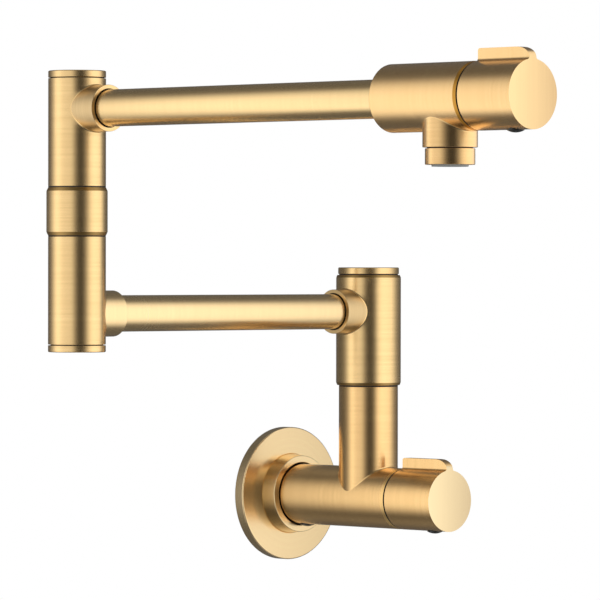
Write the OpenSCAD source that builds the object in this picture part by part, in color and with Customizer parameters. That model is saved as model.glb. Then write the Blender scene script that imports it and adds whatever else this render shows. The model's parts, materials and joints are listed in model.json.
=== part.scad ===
// Wall mounted pot filler: two arms on two swivels, with a quarter-turn valve at the wall and one at the spout.
// X runs along the wall, Y points into the wall and Z points up.
// The origin is the centre of the supply port, on the wall's surface.
// Both levers are closed at rest, the lower arm lies along the wall and the upper arm stands out from it.

/* [Wall flange] */
// Diameter of the cover plate
flange_d = 73.4; // [68:0.2:90]
// Thickness of the cover plate
flange_t = 6.25; // [5:0.05:8]
// Rounding of the plate's front edge
flange_round = 0.7; // [0.3:0.1:1.5]
// Width of the rim that bears on the wall
flange_rim = 3.2; // [2:0.1:5]
// Depth of the hollow behind the plate
flange_hollow = 3; // [2:0.1:3.5]
// Width of the foam gasket in the hollow
gasket_w = 6.5; // [4:0.1:7.5]
// Distance from the wall to the collar's front edge
collar_front = 15.1; // [14:0.1:17]
// Wall of the collar at its front edge
collar_wall = 3.6; // [3:0.1:4.5]
// Extra radius of the collar at its root
collar_draft = 0.9; // [0:0.1:2]
// Gap between the collar and the valve barrel
collar_gap = 0.9; // [0.7:0.05:1.3]

/* [Wall inlet] */
// Diameter of the hole that is threaded for the supply nipple
inlet_d = 18.6; // [17:0.1:19.4]
// Length of that hole
inlet_len = 16; // [10:0.5:16.5]
// Outer diameter of the adapter that the valve slides on
adapter_d = 23; // [22.4:0.1:24]
// Length of the adapter
adapter_len = 36; // [35:0.5:40]
// Size of the hexagon key that turns the adapter
adapter_key = 12; // [8:0.5:14]
// Distance from the wall to the lock screw
lock_screw_out = 19.7; // [19.7:0.1:22]
// Diameter of the lock screw
lock_screw_d = 6; // [4:0.5:6]
// Depth of the groove that the lock screw bites in
lock_groove = 1.2; // [0.6:0.1:1.4]
// Depth of the plug over the lock screw
lock_plug_depth = 1.6; // [1:0.1:2]

/* [Barrels] */
// Diameter of the valve body, the spout head and the levers
barrel_d = 33.1; // [32:0.1:36]
// Distance from the wall to the valve body's back edge
body_back = 2; // [0.5:0.1:4]
// Distance from the wall to the valve body's front edge
body_front = 94.7; // [94:0.1:110]
// Length of the chamfer at the front edge of a barrel
barrel_chamfer_len = 1.95; // [0.5:0.05:2.5]
// Amount by which that chamfer draws in the radius
barrel_chamfer_drop = 0.4; // [0.3:0.1:1.5]
// Chamfer at the spout head's back edge
head_back_chamfer = 0.45; // [0.2:0.05:0.9]

/* [Levers] */
// Gap between a barrel and its lever
lever_gap = 1.25; // [0.4:0.05:1.6]
// Length of a lever's barrel
lever_len = 33.35; // [31:0.05:45]
// Thickness of the fin
fin_t = 4.75; // [3:0.05:7]
// Height of the fin over the barrel
fin_rise = 5.8; // [4.5:0.05:12]
// Rounding of the fin's top corner at the back
fin_back_round = 1.3; // [0.5:0.1:2]
// Rounding of the fin's top corner at the front
fin_front_round = 4.4; // [1:0.1:4.4]
// Fillet between the fin and the barrel
fin_root_round = 1.5; // [0.5:0.1:3]
// Diameter of the round plugs over the screws
plug_d = 8.4; // [7.4:0.1:9]
// Distance from a lever's end face to its plug
plug_back = 11; // [10:0.1:12]
// Height by which a plug stands out
plug_proud = 1.3; // [0.2:0.05:1.6]
// Height of the plug's dome
plug_dome = 1.1; // [0.4:0.05:1.4]
// Depth of the plug in a lever
plug_depth = 4; // [2:0.1:5]
// Diameter of a lever's set screw
lever_screw_d = 5; // [3:0.5:6]
// Length of a lever's set screw
lever_screw_len = 6; // [4:0.5:8]
// Diameter of the cup in a lever's back
lever_cup_d = 26; // [20:0.5:28]
// Depth of that cup
lever_cup_depth = 8; // [5:0.5:10]
// Wall between the stem's hole and a lever's end face
lever_end_wall = 7; // [4:0.1:7.4]

/* [Headwork] */
// Diameter of the threaded hole for the headwork's ring nut
head_thread_d = 24.8; // [24:0.1:26]
// Length of that threaded hole
head_thread_len = 15; // [14:0.5:17]
// Diameter of the water chamber round the headwork
chamber_d = 21.2; // [20:0.1:22.5]
// Distance from a barrel's front edge to the seat of the headwork
seat_depth = 42; // [41:0.5:43]
// Diameter of the water way behind the seat
passage_d = 14; // [11:0.5:15]
// Outer diameter of the headwork
headwork_d = 18; // [17.6:0.1:19]
// Height of the headwork over the barrel's front edge
headwork_proud = 4; // [1:0.5:6]
// Thickness of the headwork's flange
headwork_flange = 3; // [2:0.1:4]
// Diameter of the hole for the ceramic discs
disc_hole_d = 15; // [14:0.1:15.6]
// Length of the hole for the discs and the stem's foot
disc_hole_len = 18; // [17:0.5:20]
// Thickness of a ceramic disc
disc_t = 3.2; // [2.5:0.1:3.6]
// Thickness of the seat's rubber seal
seal_t = 2; // [1:0.1:3]
// Diameter of the hole through the seal
seal_hole_d = 12; // [9:0.5:13]
// Width of a ring nut
nut_len = 9.5; // [6:0.5:10.5]
// Diameter of the stem in the headwork
stem_d = 8.88; // [7.6:0.02:10]
// Diameter of the stem's end in the lever
stem_end_d = 8; // [6:0.1:8.4]
// Distance from the stem's axis to the flat that the set screw presses on
stem_flat = 3.3; // [2.4:0.1:3.7]

/* [Post] */
// Distance from the wall to the post's axis
post_out = 67.3; // [66:0.1:75]
// Height of the riser's top over the supply port
riser_top = 60.6; // [50:0.1:90]
// Amount by which the riser's radius is less than the barrel's
riser_step = 0.42; // [0.2:0.02:1.5]
// Diameter of the water way in the riser
riser_bore_d = 16; // [12:0.5:18]
// Height of the gap under the sleeve
sleeve_gap = 0.7; // [0.5:0.05:1.2]
// Height of the sleeve
sleeve_h = 60.1; // [56:0.1:80]
// Amount by which the sleeve's radius is more than the riser's
sleeve_step = 1.55; // [0.8:0.05:3]
// Height of the chamfers at the sleeve's ends
sleeve_chamfer_h = 1.5; // [0.5:0.05:2.5]
// Amount by which those chamfers draw in the radius
sleeve_chamfer_drop = 0.6; // [0.4:0.05:1.3]
// Height of the gap over the sleeve
cap_gap = 0.55; // [0.4:0.05:1.2]
// Diameter of the post's cap
cap_d = 33.2; // [30:0.1:35]
// Thickness of the post's cap
cap_t = 3.55; // [2:0.05:8]
// Diameter of the swivel pin in the post
post_pin_d = 22; // [20:0.1:22.6]
// Length of the pin's thread in the riser
post_thread_len = 20; // [12:0.5:24]
// Diameter of the water way in the pin
post_pin_bore_d = 12; // [9:0.5:12.5]
// Height of the lower arm's axis over the riser's top
lower_arm_over_riser = 40.9; // [36:0.1:42]

/* [Elbow] */
// Diameter of the elbow's two columns
column_d = 29.8; // [29:0.1:33]
// Distance from an arm's axis to its column's end at the joint
arm_to_joint = 39.8; // [36:0.1:50]
// Distance from an arm's axis to its column's far end
arm_to_end = 15.8; // [15.5:0.05:22]
// Height of the collar between the columns
elbow_collar_h = 24.9; // [15:0.1:40]
// Diameter of the collar
elbow_collar_d = 31.6; // [30:0.1:35]
// Height of the collar's chamfers
elbow_chamfer_h = 1.95; // [0.5:0.05:3]
// Amount by which those chamfers draw in the radius
elbow_chamfer_drop = 0.93; // [0.3:0.01:1.2]
// Gap between the collar and each column
elbow_gap = 0.5; // [0.3:0.05:1]
// Thickness of the columns' end caps
end_cap_t = 3.5; // [2:0.1:8]
// Height of the groove between a column and its cap
end_cap_groove = 0.45; // [0.2:0.05:1]
// Depth of that groove
end_cap_groove_depth = 1.3; // [0.5:0.1:2]
// Length of the cap's threaded plug
end_cap_plug_len = 6.5; // [5.5:0.1:6.8]
// Diameter of the water chamber in a column
column_chamber_d = 22; // [21.6:0.1:23]
// Diameter of the swivel pin in the elbow
elbow_pin_d = 18; // [17:0.1:18.8]
// Diameter of the water way in that pin
elbow_pin_bore_d = 12.4; // [8:0.1:12.6]
// Outer diameter of the bush in the collar
elbow_bush_d = 22; // [20:0.1:26]

/* [Arms] */
// Outer diameter of the arm tubes
tube_d = 19; // [18:0.1:19.6]
// Wall of the arm tubes
tube_wall = 1.25; // [0.8:0.05:2]
// Distance from the post's axis to the elbow's axis
lower_reach = 212.2; // [150:0.1:320]
// Distance from the elbow's axis to the outlet's axis
upper_reach = 267.7; // [190:0.1:360]
// Outer diameter of the sockets
socket_d = 24; // [23.8:0.1:26]
// Distance from the post's axis to its socket's rim
post_socket = 26.9; // [24:0.1:34]
// Distance from the elbow's axis to a socket's rim
elbow_socket = 24.75; // [23:0.05:32]
// Gap round a tube in the mouth of its socket
socket_gap = 0.6; // [0.3:0.05:0.8]
// Depth of that mouth
socket_mouth = 2.5; // [1:0.1:3.5]
// Depth of the tube in the spout head
head_socket = 12; // [10:0.5:14]
// Diameter of the water way between a socket and its column
port_d = 15; // [12:0.1:16]

/* [Spout] */
// Wall between the upper tube's end and the seat of the headwork
seat_wall = 4.2; // [2:0.1:15]
// Distance from the outlet's axis to the spout head's front edge
head_front_len = 19.2; // [18:0.1:26]
// Diameter of the outlet boss
boss_d = 26.4; // [26:0.1:30]
// Distance from the spout head's axis to the boss's lower edge
boss_drop = 24.1; // [24:0.1:30]
// Gap between the boss and the aerator ring
aerator_gap = 0.5; // [0.3:0.05:1.2]
// Outer diameter of the aerator ring
aerator_d = 24; // [23.2:0.1:25.6]
// Height of the aerator ring
aerator_h = 7.75; // [5:0.05:12]
// Diameter of the thread that holds the ring in the boss
aerator_thread_d = 22; // [21:0.1:22.6]
// Depth of that threaded hole
aerator_depth = 8.7; // [6:0.1:9]
// Thickness of the rubber washer over the aerator
aerator_washer_t = 1.6; // [1:0.1:2]
// Diameter of the aerator insert
insert_d = 17.7; // [16:0.1:18.4]
// Height by which the insert stands out of the ring
insert_proud = 0.9; // [0:0.1:2]
// Thickness of the plate with the jets
jet_plate_t = 3; // [1:0.1:5]
// Diameter of one jet
jet_d = 1.1; // [0.5:0.1:1.6]
// Distance between neighbouring jets
jet_step = 2.2; // [1.8:0.1:2.4]
// Rings of jets round the middle one
jet_rings = 3; // [1:1:3]

/* [Fits] */
// Radial clearance of pieces that are pushed or screwed together
slip = 0.05; // [0.02:0.01:0.1]
// Radial clearance of a pin that turns in its bore
run = 0.06; // [0.03:0.01:0.09]
// Clearance of loose pieces
loose = 0.3; // [0.15:0.05:0.4]
// Thickness of the small rubber rings
o_ring_t = 1.25; // [1:0.05:1.3]
// Thickness of the rubber ring in the flange's collar
collar_ring_t = 1.7; // [1.4:0.05:1.9]

/* [Hidden] */
$fn = 72;

gold = [0.80, 0.63, 0.38];
brass = [0.72, 0.58, 0.30];
steel = [0.70, 0.71, 0.72];
rubber = [0.07, 0.07, 0.07];
foam = [0.16, 0.16, 0.17];
ceramic = [0.93, 0.92, 0.89];
slide_plastic = [0.09, 0.09, 0.09];
plug_plastic = [0.05, 0.05, 0.05];
insert_plastic = [0.52, 0.54, 0.56];

// How far a cut runs past the face that it opens
over = 0.5;

flange_r = flange_d / 2;
barrel_r = barrel_d / 2;
collar_bore_r = barrel_r + collar_gap;
collar_front_r = collar_bore_r + collar_wall;
collar_base_r = collar_front_r + collar_draft;
hollow_r = flange_r - flange_rim;
collar_ring_at = (flange_t + collar_front) / 2;

adapter_r = adapter_d / 2;
inlet_ring_first = lock_screw_out + lock_screw_d / 2 + o_ring_t * 2;
inlet_ring_second = inlet_ring_first + o_ring_t * 4;
adapter_end_gap = 1;

thread_r = head_thread_d / 2;
chamber_r = chamber_d / 2;
passage_r = passage_d / 2;
headwork_r = headwork_d / 2;
disc_hole_r = disc_hole_d / 2;
disc_r = disc_hole_r - loose;
stem_r = stem_d / 2;
stem_end_r = stem_end_d / 2;
drive_w = 3;
drive_len = 11;
drive_depth = 1;
window_h = 6;
window_w = 9;
stem_foot_t = 2.6;
nut_slot_w = 3;
nut_slot_depth = 2;
disc_port_share = 0.78;
disc_hub_share = 0.34;
disc_port_angle = 78;
disc_wing_angle = 98;

plug_r = plug_d / 2;
fin_top = barrel_r + fin_rise;

riser_r = barrel_r - riser_step;
sleeve_r = riser_r + sleeve_step;
sleeve_bottom = riser_top + sleeve_gap;
sleeve_top = sleeve_bottom + sleeve_h;
cap_bottom = sleeve_top + cap_gap;
cap_top = cap_bottom + cap_t;
post_pin_r = post_pin_d / 2;
post_pin_bore_r = post_pin_bore_d / 2;
gallery_r = (post_pin_r + post_pin_bore_r) / 2;
gallery_half_h = 9;
cross_port_r = 3.5;
cap_stub_r = 5;
cap_stub_len = 6;
washer_edge = 0.05;

lower_z = riser_top + lower_arm_over_riser;
lower_joint_z = lower_z + arm_to_joint;
elbow_collar_z = lower_joint_z + elbow_gap;
upper_washer_z = elbow_collar_z + elbow_collar_h;
upper_joint_z = upper_washer_z + elbow_gap;
upper_z = upper_joint_z + arm_to_joint;

column_r = column_d / 2;
column_chamber_r = column_chamber_d / 2;
elbow_pin_r = elbow_pin_d / 2;
elbow_bush_r = elbow_bush_d / 2;
column_plug_r = column_chamber_r - slip;
pin_end_len = 6;
clip_t = 1.2;
clip_depth = 1.1;
clip_mouth = 9;
clip_r = column_chamber_r - 2 * loose;

tube_r = tube_d / 2;
socket_r = socket_d / 2;
port_r = port_d / 2;
lower_chamber_top = port_r + 3;
upper_chamber_top = lower_chamber_top + pin_end_len + loose;
socket_stop = column_chamber_r + tube_wall;
post_stop = post_pin_r + tube_wall + tube_wall;
seal_back = socket_mouth + 3 * o_ring_t;

head_front = upper_reach + head_front_len;
head_back = head_front - seat_depth - seat_wall - head_socket;
boss_r = boss_d / 2;
boss_bottom = upper_z - boss_drop;
aerator_hole_top = boss_bottom + aerator_depth;
aerator_top = boss_bottom - aerator_gap;
aerator_bottom = aerator_top - aerator_h;
aerator_thread_r = aerator_thread_d / 2;
aerator_stub_r = aerator_thread_r - slip;
insert_r = insert_d / 2;
insert_bottom = aerator_bottom - insert_proud;
washer_bottom = aerator_hole_top - aerator_washer_t;
outlet_bore_r = insert_r - 2 * tube_wall;

groove_w = o_ring_t + 2 * loose;
groove_depth = o_ring_t + 3 * slip;

// Places: each module moves its children to one of the object's axes

// Z runs from the wall outwards, Y up
module on_valve_axis() {
    rotate([90, 0, 0]) children();
}

// Z runs from the elbow outwards, Y up
module on_spout_axis() {
    translate([-lower_reach, -post_out, upper_z]) rotate([90, 0, 0]) children();
}

// Z runs from the post to the elbow
module on_lower_arm_axis() {
    translate([0, -post_out, lower_z]) rotate([0, -90, 0]) children();
}

module at_post() {
    translate([0, -post_out, 0]) children();
}

module at_elbow() {
    translate([-lower_reach, -post_out, 0]) children();
}

module at_outlet() {
    translate([-lower_reach, -post_out - upper_reach, 0]) children();
}

// Origin on the lower arm's axis in the elbow, Z towards the joint
module in_lower_column() {
    translate([-lower_reach, -post_out, lower_z]) children();
}

// Origin on the upper arm's axis in the elbow, Z towards the joint
module in_upper_column() {
    translate([-lower_reach, -post_out, upper_z]) mirror([0, 0, 1]) children();
}

// Z runs down from a barrel's axis at the given distance along it
module below_axis(along) {
    translate([0, 0, along]) rotate([90, 0, 0]) children();
}

// Shapes that repeat

module bar(r, from, to) {
    translate([0, 0, from]) cylinder(r = r, h = to - from);
}

module ring(r_in, r_out, from, to) {
    rotate_extrude() translate([r_in, from]) square([r_out - r_in, to - from]);
}

// Rubber ring whose inner edge lies on r_in
module o_ring(r_in, thickness, at) {
    translate([0, 0, at]) rotate_extrude() translate([r_in + thickness / 2, 0]) circle(d = thickness);
}

// Groove cut in a shaft for a rubber ring
module shaft_groove(shaft_r, at) {
    ring(shaft_r - groove_depth, shaft_r + over, at - groove_w / 2, at + groove_w / 2);
}

// Rubber ring that sits in such a groove
module shaft_ring(shaft_r, at) {
    o_ring(shaft_r - groove_depth + slip, o_ring_t, at);
}

// What a rounding takes off a corner at the origin, with the material on the side of low x and low y
module corner_trim(size) {
    difference() {
        translate([-size, -size]) square([size + over, size + over]);
        translate([-size, -size]) circle(r = size);
    }
}

// Barrel with a chamfer at its front edge and a smaller one at its back edge
module barrel(from, to, back_chamfer) {
    rotate_extrude() polygon([
        [0, from],
        [barrel_r - back_chamfer, from],
        [barrel_r, from + back_chamfer],
        [barrel_r, to - barrel_chamfer_len],
        [barrel_r - barrel_chamfer_drop, to],
        [0, to]
    ]);
}

// Grub screw with a hexagon socket at its outer end
module grub_screw(r, from, to) {
    difference() {
        bar(r, from, to);
        translate([0, 0, (from + to) / 2]) cylinder(r = r / 2, h = to - from, $fn = 6);
    }
}

// Domed plug that closes a screw hole in a barrel's underside
module screw_plug(depth) {
    r = plug_r - slip;
    dome_r = (r * r + plug_dome * plug_dome) / (2 * plug_dome);
    rotate_extrude() intersection() {
        translate([0, barrel_r - depth]) square([r, depth + plug_proud]);
        translate([0, barrel_r + plug_proud - dome_r]) circle(r = dome_r);
    }
}

// Space of a headwork behind a barrel's front edge
module headwork_room(front) {
    bar(thread_r, front - head_thread_len, front + over);
    bar(chamber_r, front - seat_depth, front - head_thread_len + over);
}

// Space of a tube and its seal in a socket, measured from the column's axis
module socket_room(rim, stop) {
    bar(port_r, 0, stop + over);
    bar(tube_r + slip, stop, rim + over);
    bar(tube_r + socket_gap, rim - socket_mouth, rim + over);
    seal_groove(rim - seal_back);
}

// Groove round a tube for its seal
module seal_groove(at) {
    bar(tube_r + slip + groove_depth, at - groove_w / 2, at + groove_w / 2);
}

// Seal round a tube
module tube_seal(at) {
    o_ring(tube_r + slip, o_ring_t, at);
}

module tube(from, to) {
    ring(tube_r - tube_wall, tube_r, from, to);
}

// Headwork: the same pieces serve both valves, placed by the barrel's front edge

module headwork_body(front) {
    foot = front - seat_depth + seal_t;
    shoulder = front - head_thread_len;
    hole_end = foot + disc_hole_len;
    window = foot + 2 * disc_t + window_h / 2;
    difference() {
        union() {
            bar(headwork_r, foot, front + headwork_proud);
            bar(thread_r - 2 * slip, shoulder, shoulder + headwork_flange);
        }
        bar(disc_hole_r, foot - over, hole_end);
        bar(stem_r + run, hole_end - over, front + headwork_proud + over);
        translate([0, 0, window]) cube([3 * headwork_r, window_w, window_h], center = true);
    }
}

// Two opposite sectors of a disc
module sector_pair(r, angle) {
    reach = r / cos(angle / 2) + over;
    intersection() {
        circle(r = r);
        for (turn = [0, 180]) rotate(turn) polygon([
            [0, 0],
            [reach * sin(angle / 2), reach * cos(angle / 2)],
            [-reach * sin(angle / 2), reach * cos(angle / 2)]
        ]);
    }
}

module fixed_disc(front) {
    translate([0, 0, front - seat_depth + seal_t]) linear_extrude(disc_t) difference() {
        circle(r = disc_hole_r - slip);
        difference() {
            sector_pair(disc_r * disc_port_share, disc_port_angle);
            circle(r = disc_r * disc_hub_share);
        }
    }
}

module moving_disc(front) {
    bottom = front - seat_depth + seal_t + disc_t;
    difference() {
        translate([0, 0, bottom]) linear_extrude(disc_t) union() {
            sector_pair(disc_r, disc_wing_angle);
            circle(r = disc_r * disc_hub_share);
        }
        translate([-(drive_w / 2 + slip), -(drive_len / 2 + slip), bottom + disc_t - drive_depth])
            cube([drive_w + 2 * slip, drive_len + 2 * slip, drive_depth + over]);
    }
}

module cartridge_seal(front) {
    ring(seal_hole_d / 2, headwork_r - loose, front - seat_depth, front - seat_depth + seal_t);
}

module retaining_nut(front) {
    bottom = front - head_thread_len + headwork_flange;
    top = bottom + nut_len;
    difference() {
        ring(headwork_r + slip, thread_r - slip, bottom, top);
        for (turn = [0, 90]) rotate(turn) translate([0, 0, top])
            cube([2 * thread_r + over, nut_slot_w, 2 * nut_slot_depth], center = true);
    }
}

module stem(front) {
    disc_top = front - seat_depth + seal_t + 2 * disc_t;
    foot_top = front - seat_depth + seal_t + disc_hole_len - loose;
    foot_bottom = foot_top - stem_foot_t;
    shaft_top = front + headwork_proud;
    end = front + lever_gap + lever_len - lever_end_wall - loose;
    difference() {
        union() {
            translate([-drive_w / 2, -drive_len / 2, disc_top - drive_depth])
                cube([drive_w, drive_len, foot_bottom + drive_depth - disc_top + slip]);
            bar(disc_r, foot_bottom, foot_top);
            bar(stem_r, foot_top - slip, shaft_top);
            bar(stem_end_r, shaft_top - slip, end);
        }
        shaft_groove(stem_r, front - headwork_flange);
        translate([-stem_end_r, -stem_end_r - stem_flat, (shaft_top + end) / 2])
            cube([2 * stem_end_r, stem_end_r, end - shaft_top]);
    }
}

module stem_ring(front) {
    shaft_ring(stem_r, front - headwork_flange);
}

// Levers

// Side view of the fin: x is the height over the lever's axis, y the distance along it
module fin_side(back, end) {
    difference() {
        translate([0, back]) square([fin_top, end - back]);
        translate([fin_top, end]) corner_trim(fin_front_round);
        translate([fin_top, back]) mirror([0, 1]) corner_trim(fin_back_round);
    }
}

// Section of the fillet on one side of the fin
module fin_root() {
    centre_x = fin_t / 2 + fin_root_round;
    centre_y = sqrt(pow(barrel_r + fin_root_round, 2) - pow(centre_x, 2));
    inner_share = 0.9 * barrel_r / (barrel_r + fin_root_round);
    difference() {
        polygon([
            [0, centre_y * inner_share],
            [centre_x * inner_share, centre_y * inner_share],
            [centre_x, centre_y],
            [0, centre_y]
        ]);
        translate([centre_x, centre_y]) circle(r = fin_root_round);
    }
}

module lever(front) {
    back = front + lever_gap;
    end = back + lever_len;
    difference() {
        union() {
            bar(barrel_r, back, end);
            translate([-fin_t / 2, 0, 0]) rotate([90, 0, 90]) linear_extrude(fin_t) fin_side(back, end);
            for (side = [0, 1]) mirror([side, 0, 0]) translate([0, 0, back]) linear_extrude(lever_len) fin_root();
        }
        bar(lever_cup_d / 2, back - over, back + lever_cup_depth);
        bar(stem_end_r + slip, back, end - lever_end_wall);
        below_axis(end - plug_back) {
            bar(lever_screw_d / 2 + slip, 0, barrel_r);
            bar(plug_r, barrel_r - plug_depth, barrel_r + over);
        }
    }
}

module lever_screw(front) {
    below_axis(front + lever_gap + lever_len - plug_back)
        grub_screw(lever_screw_d / 2, stem_flat, stem_flat + lever_screw_len);
}

module lever_plug(front) {
    below_axis(front + lever_gap + lever_len - plug_back) screw_plug(plug_depth);
}

// Wall flange and inlet

module wall_flange() {
    ring_r = collar_bore_r + collar_ring_t / 2 + slip;
    color(gold) on_valve_axis() rotate_extrude() difference() {
        polygon([
            [collar_bore_r, 0],
            [flange_r, 0],
            [flange_r, flange_t],
            [collar_base_r, flange_t],
            [collar_front_r, collar_front],
            [collar_bore_r, collar_front]
        ]);
        translate([flange_r, flange_t]) corner_trim(flange_round);
        translate([collar_front_r - collar_wall / 4, -over])
            square([hollow_r - collar_front_r + collar_wall / 4, flange_hollow + over]);
        translate([collar_bore_r - over, collar_ring_at - collar_ring_t / 2 - slip])
            square([ring_r - collar_bore_r + over, collar_ring_t + 2 * slip]);
    }
}

module flange_gasket() {
    color(foam) on_valve_axis() ring(hollow_r - slip - gasket_w, hollow_r - slip, 0, flange_hollow);
}

module flange_o_ring() {
    color(rubber) on_valve_axis() o_ring(barrel_r + slip, collar_ring_t, collar_ring_at);
}

module inlet_adapter() {
    color(brass) on_valve_axis() difference() {
        bar(adapter_r, 0, adapter_len);
        bar(inlet_d / 2, -over, inlet_len);
        translate([0, 0, inlet_len - over])
            cylinder(d = adapter_key / cos(30), h = adapter_len - inlet_len + 2 * over, $fn = 6);
        ring(adapter_r - lock_groove, adapter_r + over, lock_screw_out - lock_screw_d / 2 - slip,
            lock_screw_out + lock_screw_d / 2 + slip);
        for (at = [inlet_ring_first, inlet_ring_second]) shaft_groove(adapter_r, at);
    }
}

module inlet_o_rings() {
    color(rubber) on_valve_axis() for (at = [inlet_ring_first, inlet_ring_second]) shaft_ring(adapter_r, at);
}

// Valve body

module valve_body() {
    color(gold) difference() {
        union() {
            on_valve_axis() barrel(body_back, body_front, head_back_chamfer);
            at_post() bar(riser_r, 0, riser_top);
        }
        on_valve_axis() {
            bar(adapter_r + slip, body_back - over, adapter_len + adapter_end_gap);
            bar(passage_r, adapter_len, body_front - seat_depth + over);
            headwork_room(body_front);
            below_axis(lock_screw_out) {
                bar(lock_screw_d / 2 + slip, adapter_r - lock_groove, barrel_r);
                bar(plug_r, barrel_r - lock_plug_depth, barrel_r + over);
            }
        }
        at_post() {
            bar(riser_bore_d / 2, 0, riser_top);
            bar(post_pin_r + slip, riser_top - post_thread_len, riser_top + over);
        }
    }
}

module body_set_screw() {
    color(steel) on_valve_axis() below_axis(lock_screw_out)
        grub_screw(lock_screw_d / 2, adapter_r - lock_groove, barrel_r - lock_plug_depth - loose);
}

module body_screw_plug() {
    color(plug_plastic) on_valve_axis() below_axis(lock_screw_out) screw_plug(lock_plug_depth);
}

module base_cartridge() {
    color(brass) on_valve_axis() headwork_body(body_front);
}

module base_fixed_disc() {
    color(ceramic) on_valve_axis() fixed_disc(body_front);
}

module base_cartridge_seal() {
    color(rubber) on_valve_axis() cartridge_seal(body_front);
}

module base_retaining_nut() {
    color(brass) on_valve_axis() retaining_nut(body_front);
}

// Post

module riser_spindle() {
    bottom = riser_top - post_thread_len;
    color(brass) at_post() difference() {
        bar(post_pin_r, bottom, cap_bottom);
        bar(post_pin_bore_r, bottom - over, lower_z + gallery_half_h);
        ring(gallery_r, post_pin_r + over, lower_z - gallery_half_h, lower_z + gallery_half_h);
        for (turn = [0, 90]) translate([0, 0, lower_z]) rotate([90, 0, turn])
            cylinder(r = cross_port_r, h = 2 * post_pin_r, center = true);
        for (side = [-1, 1]) shaft_groove(post_pin_r, lower_z + side * (gallery_half_h + 2 * groove_w));
        bar(cap_stub_r + slip, cap_bottom - cap_stub_len - loose, cap_bottom + over);
    }
}

module spindle_o_rings() {
    color(rubber) at_post() for (side = [-1, 1])
        shaft_ring(post_pin_r, lower_z + side * (gallery_half_h + 2 * groove_w));
}

module sleeve_washers() {
    color(slide_plastic) at_post() {
        ring(post_pin_r + slip, riser_r - washer_edge, riser_top, sleeve_bottom);
        ring(post_pin_r + slip, riser_r - washer_edge, sleeve_top, cap_bottom);
    }
}

module riser_cap() {
    color(gold) at_post() union() {
        bar(cap_d / 2, cap_bottom, cap_top);
        bar(cap_stub_r, cap_bottom - cap_stub_len, cap_bottom + slip);
    }
}

// Lower lever

module base_handle() {
    color(gold) on_valve_axis() lever(body_front);
}

module base_stem() {
    color(brass) on_valve_axis() stem(body_front);
}

module base_stem_ring() {
    color(rubber) on_valve_axis() stem_ring(body_front);
}

module base_moving_disc() {
    color(ceramic) on_valve_axis() moving_disc(body_front);
}

module base_handle_screw() {
    color(steel) on_valve_axis() lever_screw(body_front);
}

module base_handle_plug() {
    color(plug_plastic) on_valve_axis() lever_plug(body_front);
}

// Lower arm

module lower_sleeve() {
    color(gold) difference() {
        union() {
            at_post() rotate_extrude() polygon([
                [0, sleeve_bottom],
                [sleeve_r - sleeve_chamfer_drop, sleeve_bottom],
                [sleeve_r, sleeve_bottom + sleeve_chamfer_h],
                [sleeve_r, sleeve_top - sleeve_chamfer_h],
                [sleeve_r - sleeve_chamfer_drop, sleeve_top],
                [0, sleeve_top]
            ]);
            on_lower_arm_axis() bar(socket_r, 0, post_socket);
        }
        at_post() bar(post_pin_r + run, sleeve_bottom - over, sleeve_top + over);
        on_lower_arm_axis() socket_room(post_socket, post_stop);
    }
}

module lower_tube() {
    color(gold) on_lower_arm_axis() tube(post_stop, lower_reach - socket_stop);
}

module lower_tube_seals() {
    color(rubber) on_lower_arm_axis() for (at = [post_socket - seal_back, lower_reach - elbow_socket + seal_back])
        tube_seal(at);
}

// Elbow: both columns are the same turned piece, measured from their arm's axis towards the joint

module elbow_column(pin_hole_r, chamber_top, socket_turn) {
    difference() {
        union() {
            bar(column_r, -arm_to_end, arm_to_joint);
            rotate([0, 90, socket_turn]) bar(socket_r, 0, elbow_socket);
        }
        bar(column_chamber_r, -arm_to_end - over, chamber_top);
        bar(pin_hole_r, chamber_top - over, arm_to_joint + over);
        rotate([0, 90, socket_turn]) socket_room(elbow_socket, socket_stop);
    }
}

module end_cap() {
    face = -arm_to_end - end_cap_groove;
    ring_at = -arm_to_end + end_cap_plug_len / 2;
    difference() {
        union() {
            bar(column_r, face - end_cap_t, face);
            bar(column_r - end_cap_groove_depth, face - slip, -arm_to_end);
            bar(column_plug_r, -arm_to_end - slip, -arm_to_end + end_cap_plug_len);
        }
        shaft_groove(column_plug_r, ring_at);
    }
}

module end_cap_ring() {
    shaft_ring(column_plug_r, -arm_to_end + end_cap_plug_len / 2);
}

module elbow_lower_column() {
    color(gold) in_lower_column() elbow_column(elbow_pin_r + slip, lower_chamber_top, 0);
}

module elbow_bottom_cap() {
    color(gold) in_lower_column() end_cap();
}

module elbow_bottom_ring() {
    color(rubber) in_lower_column() end_cap_ring();
}

module elbow_spindle() {
    shoulder = upper_z - upper_chamber_top;
    ring_room = upper_joint_z + 2 * groove_w;
    color(brass) at_elbow() difference() {
        bar(elbow_pin_r, lower_z + lower_chamber_top, shoulder + pin_end_len);
        bar(elbow_pin_bore_d / 2, lower_z + lower_chamber_top - over, shoulder + pin_end_len + over);
        ring(elbow_pin_r - clip_depth, elbow_pin_r + over, shoulder + loose - slip, shoulder + loose + clip_t + slip);
        for (at = [ring_room, shoulder - 2 * groove_w]) shaft_groove(elbow_pin_r, at);
    }
}

module elbow_o_rings() {
    shoulder = upper_z - upper_chamber_top;
    color(rubber) at_elbow() for (at = [upper_joint_z + 2 * groove_w, shoulder - 2 * groove_w])
        shaft_ring(elbow_pin_r, at);
}

module elbow_retaining_clip() {
    shoulder = upper_z - upper_chamber_top;
    color(steel) at_elbow() difference() {
        ring(elbow_pin_r - clip_depth + slip, clip_r, shoulder + loose, shoulder + loose + clip_t);
        translate([0, -clip_mouth / 2, shoulder]) cube([2 * clip_r, clip_mouth, 2 * clip_t]);
    }
}

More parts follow.
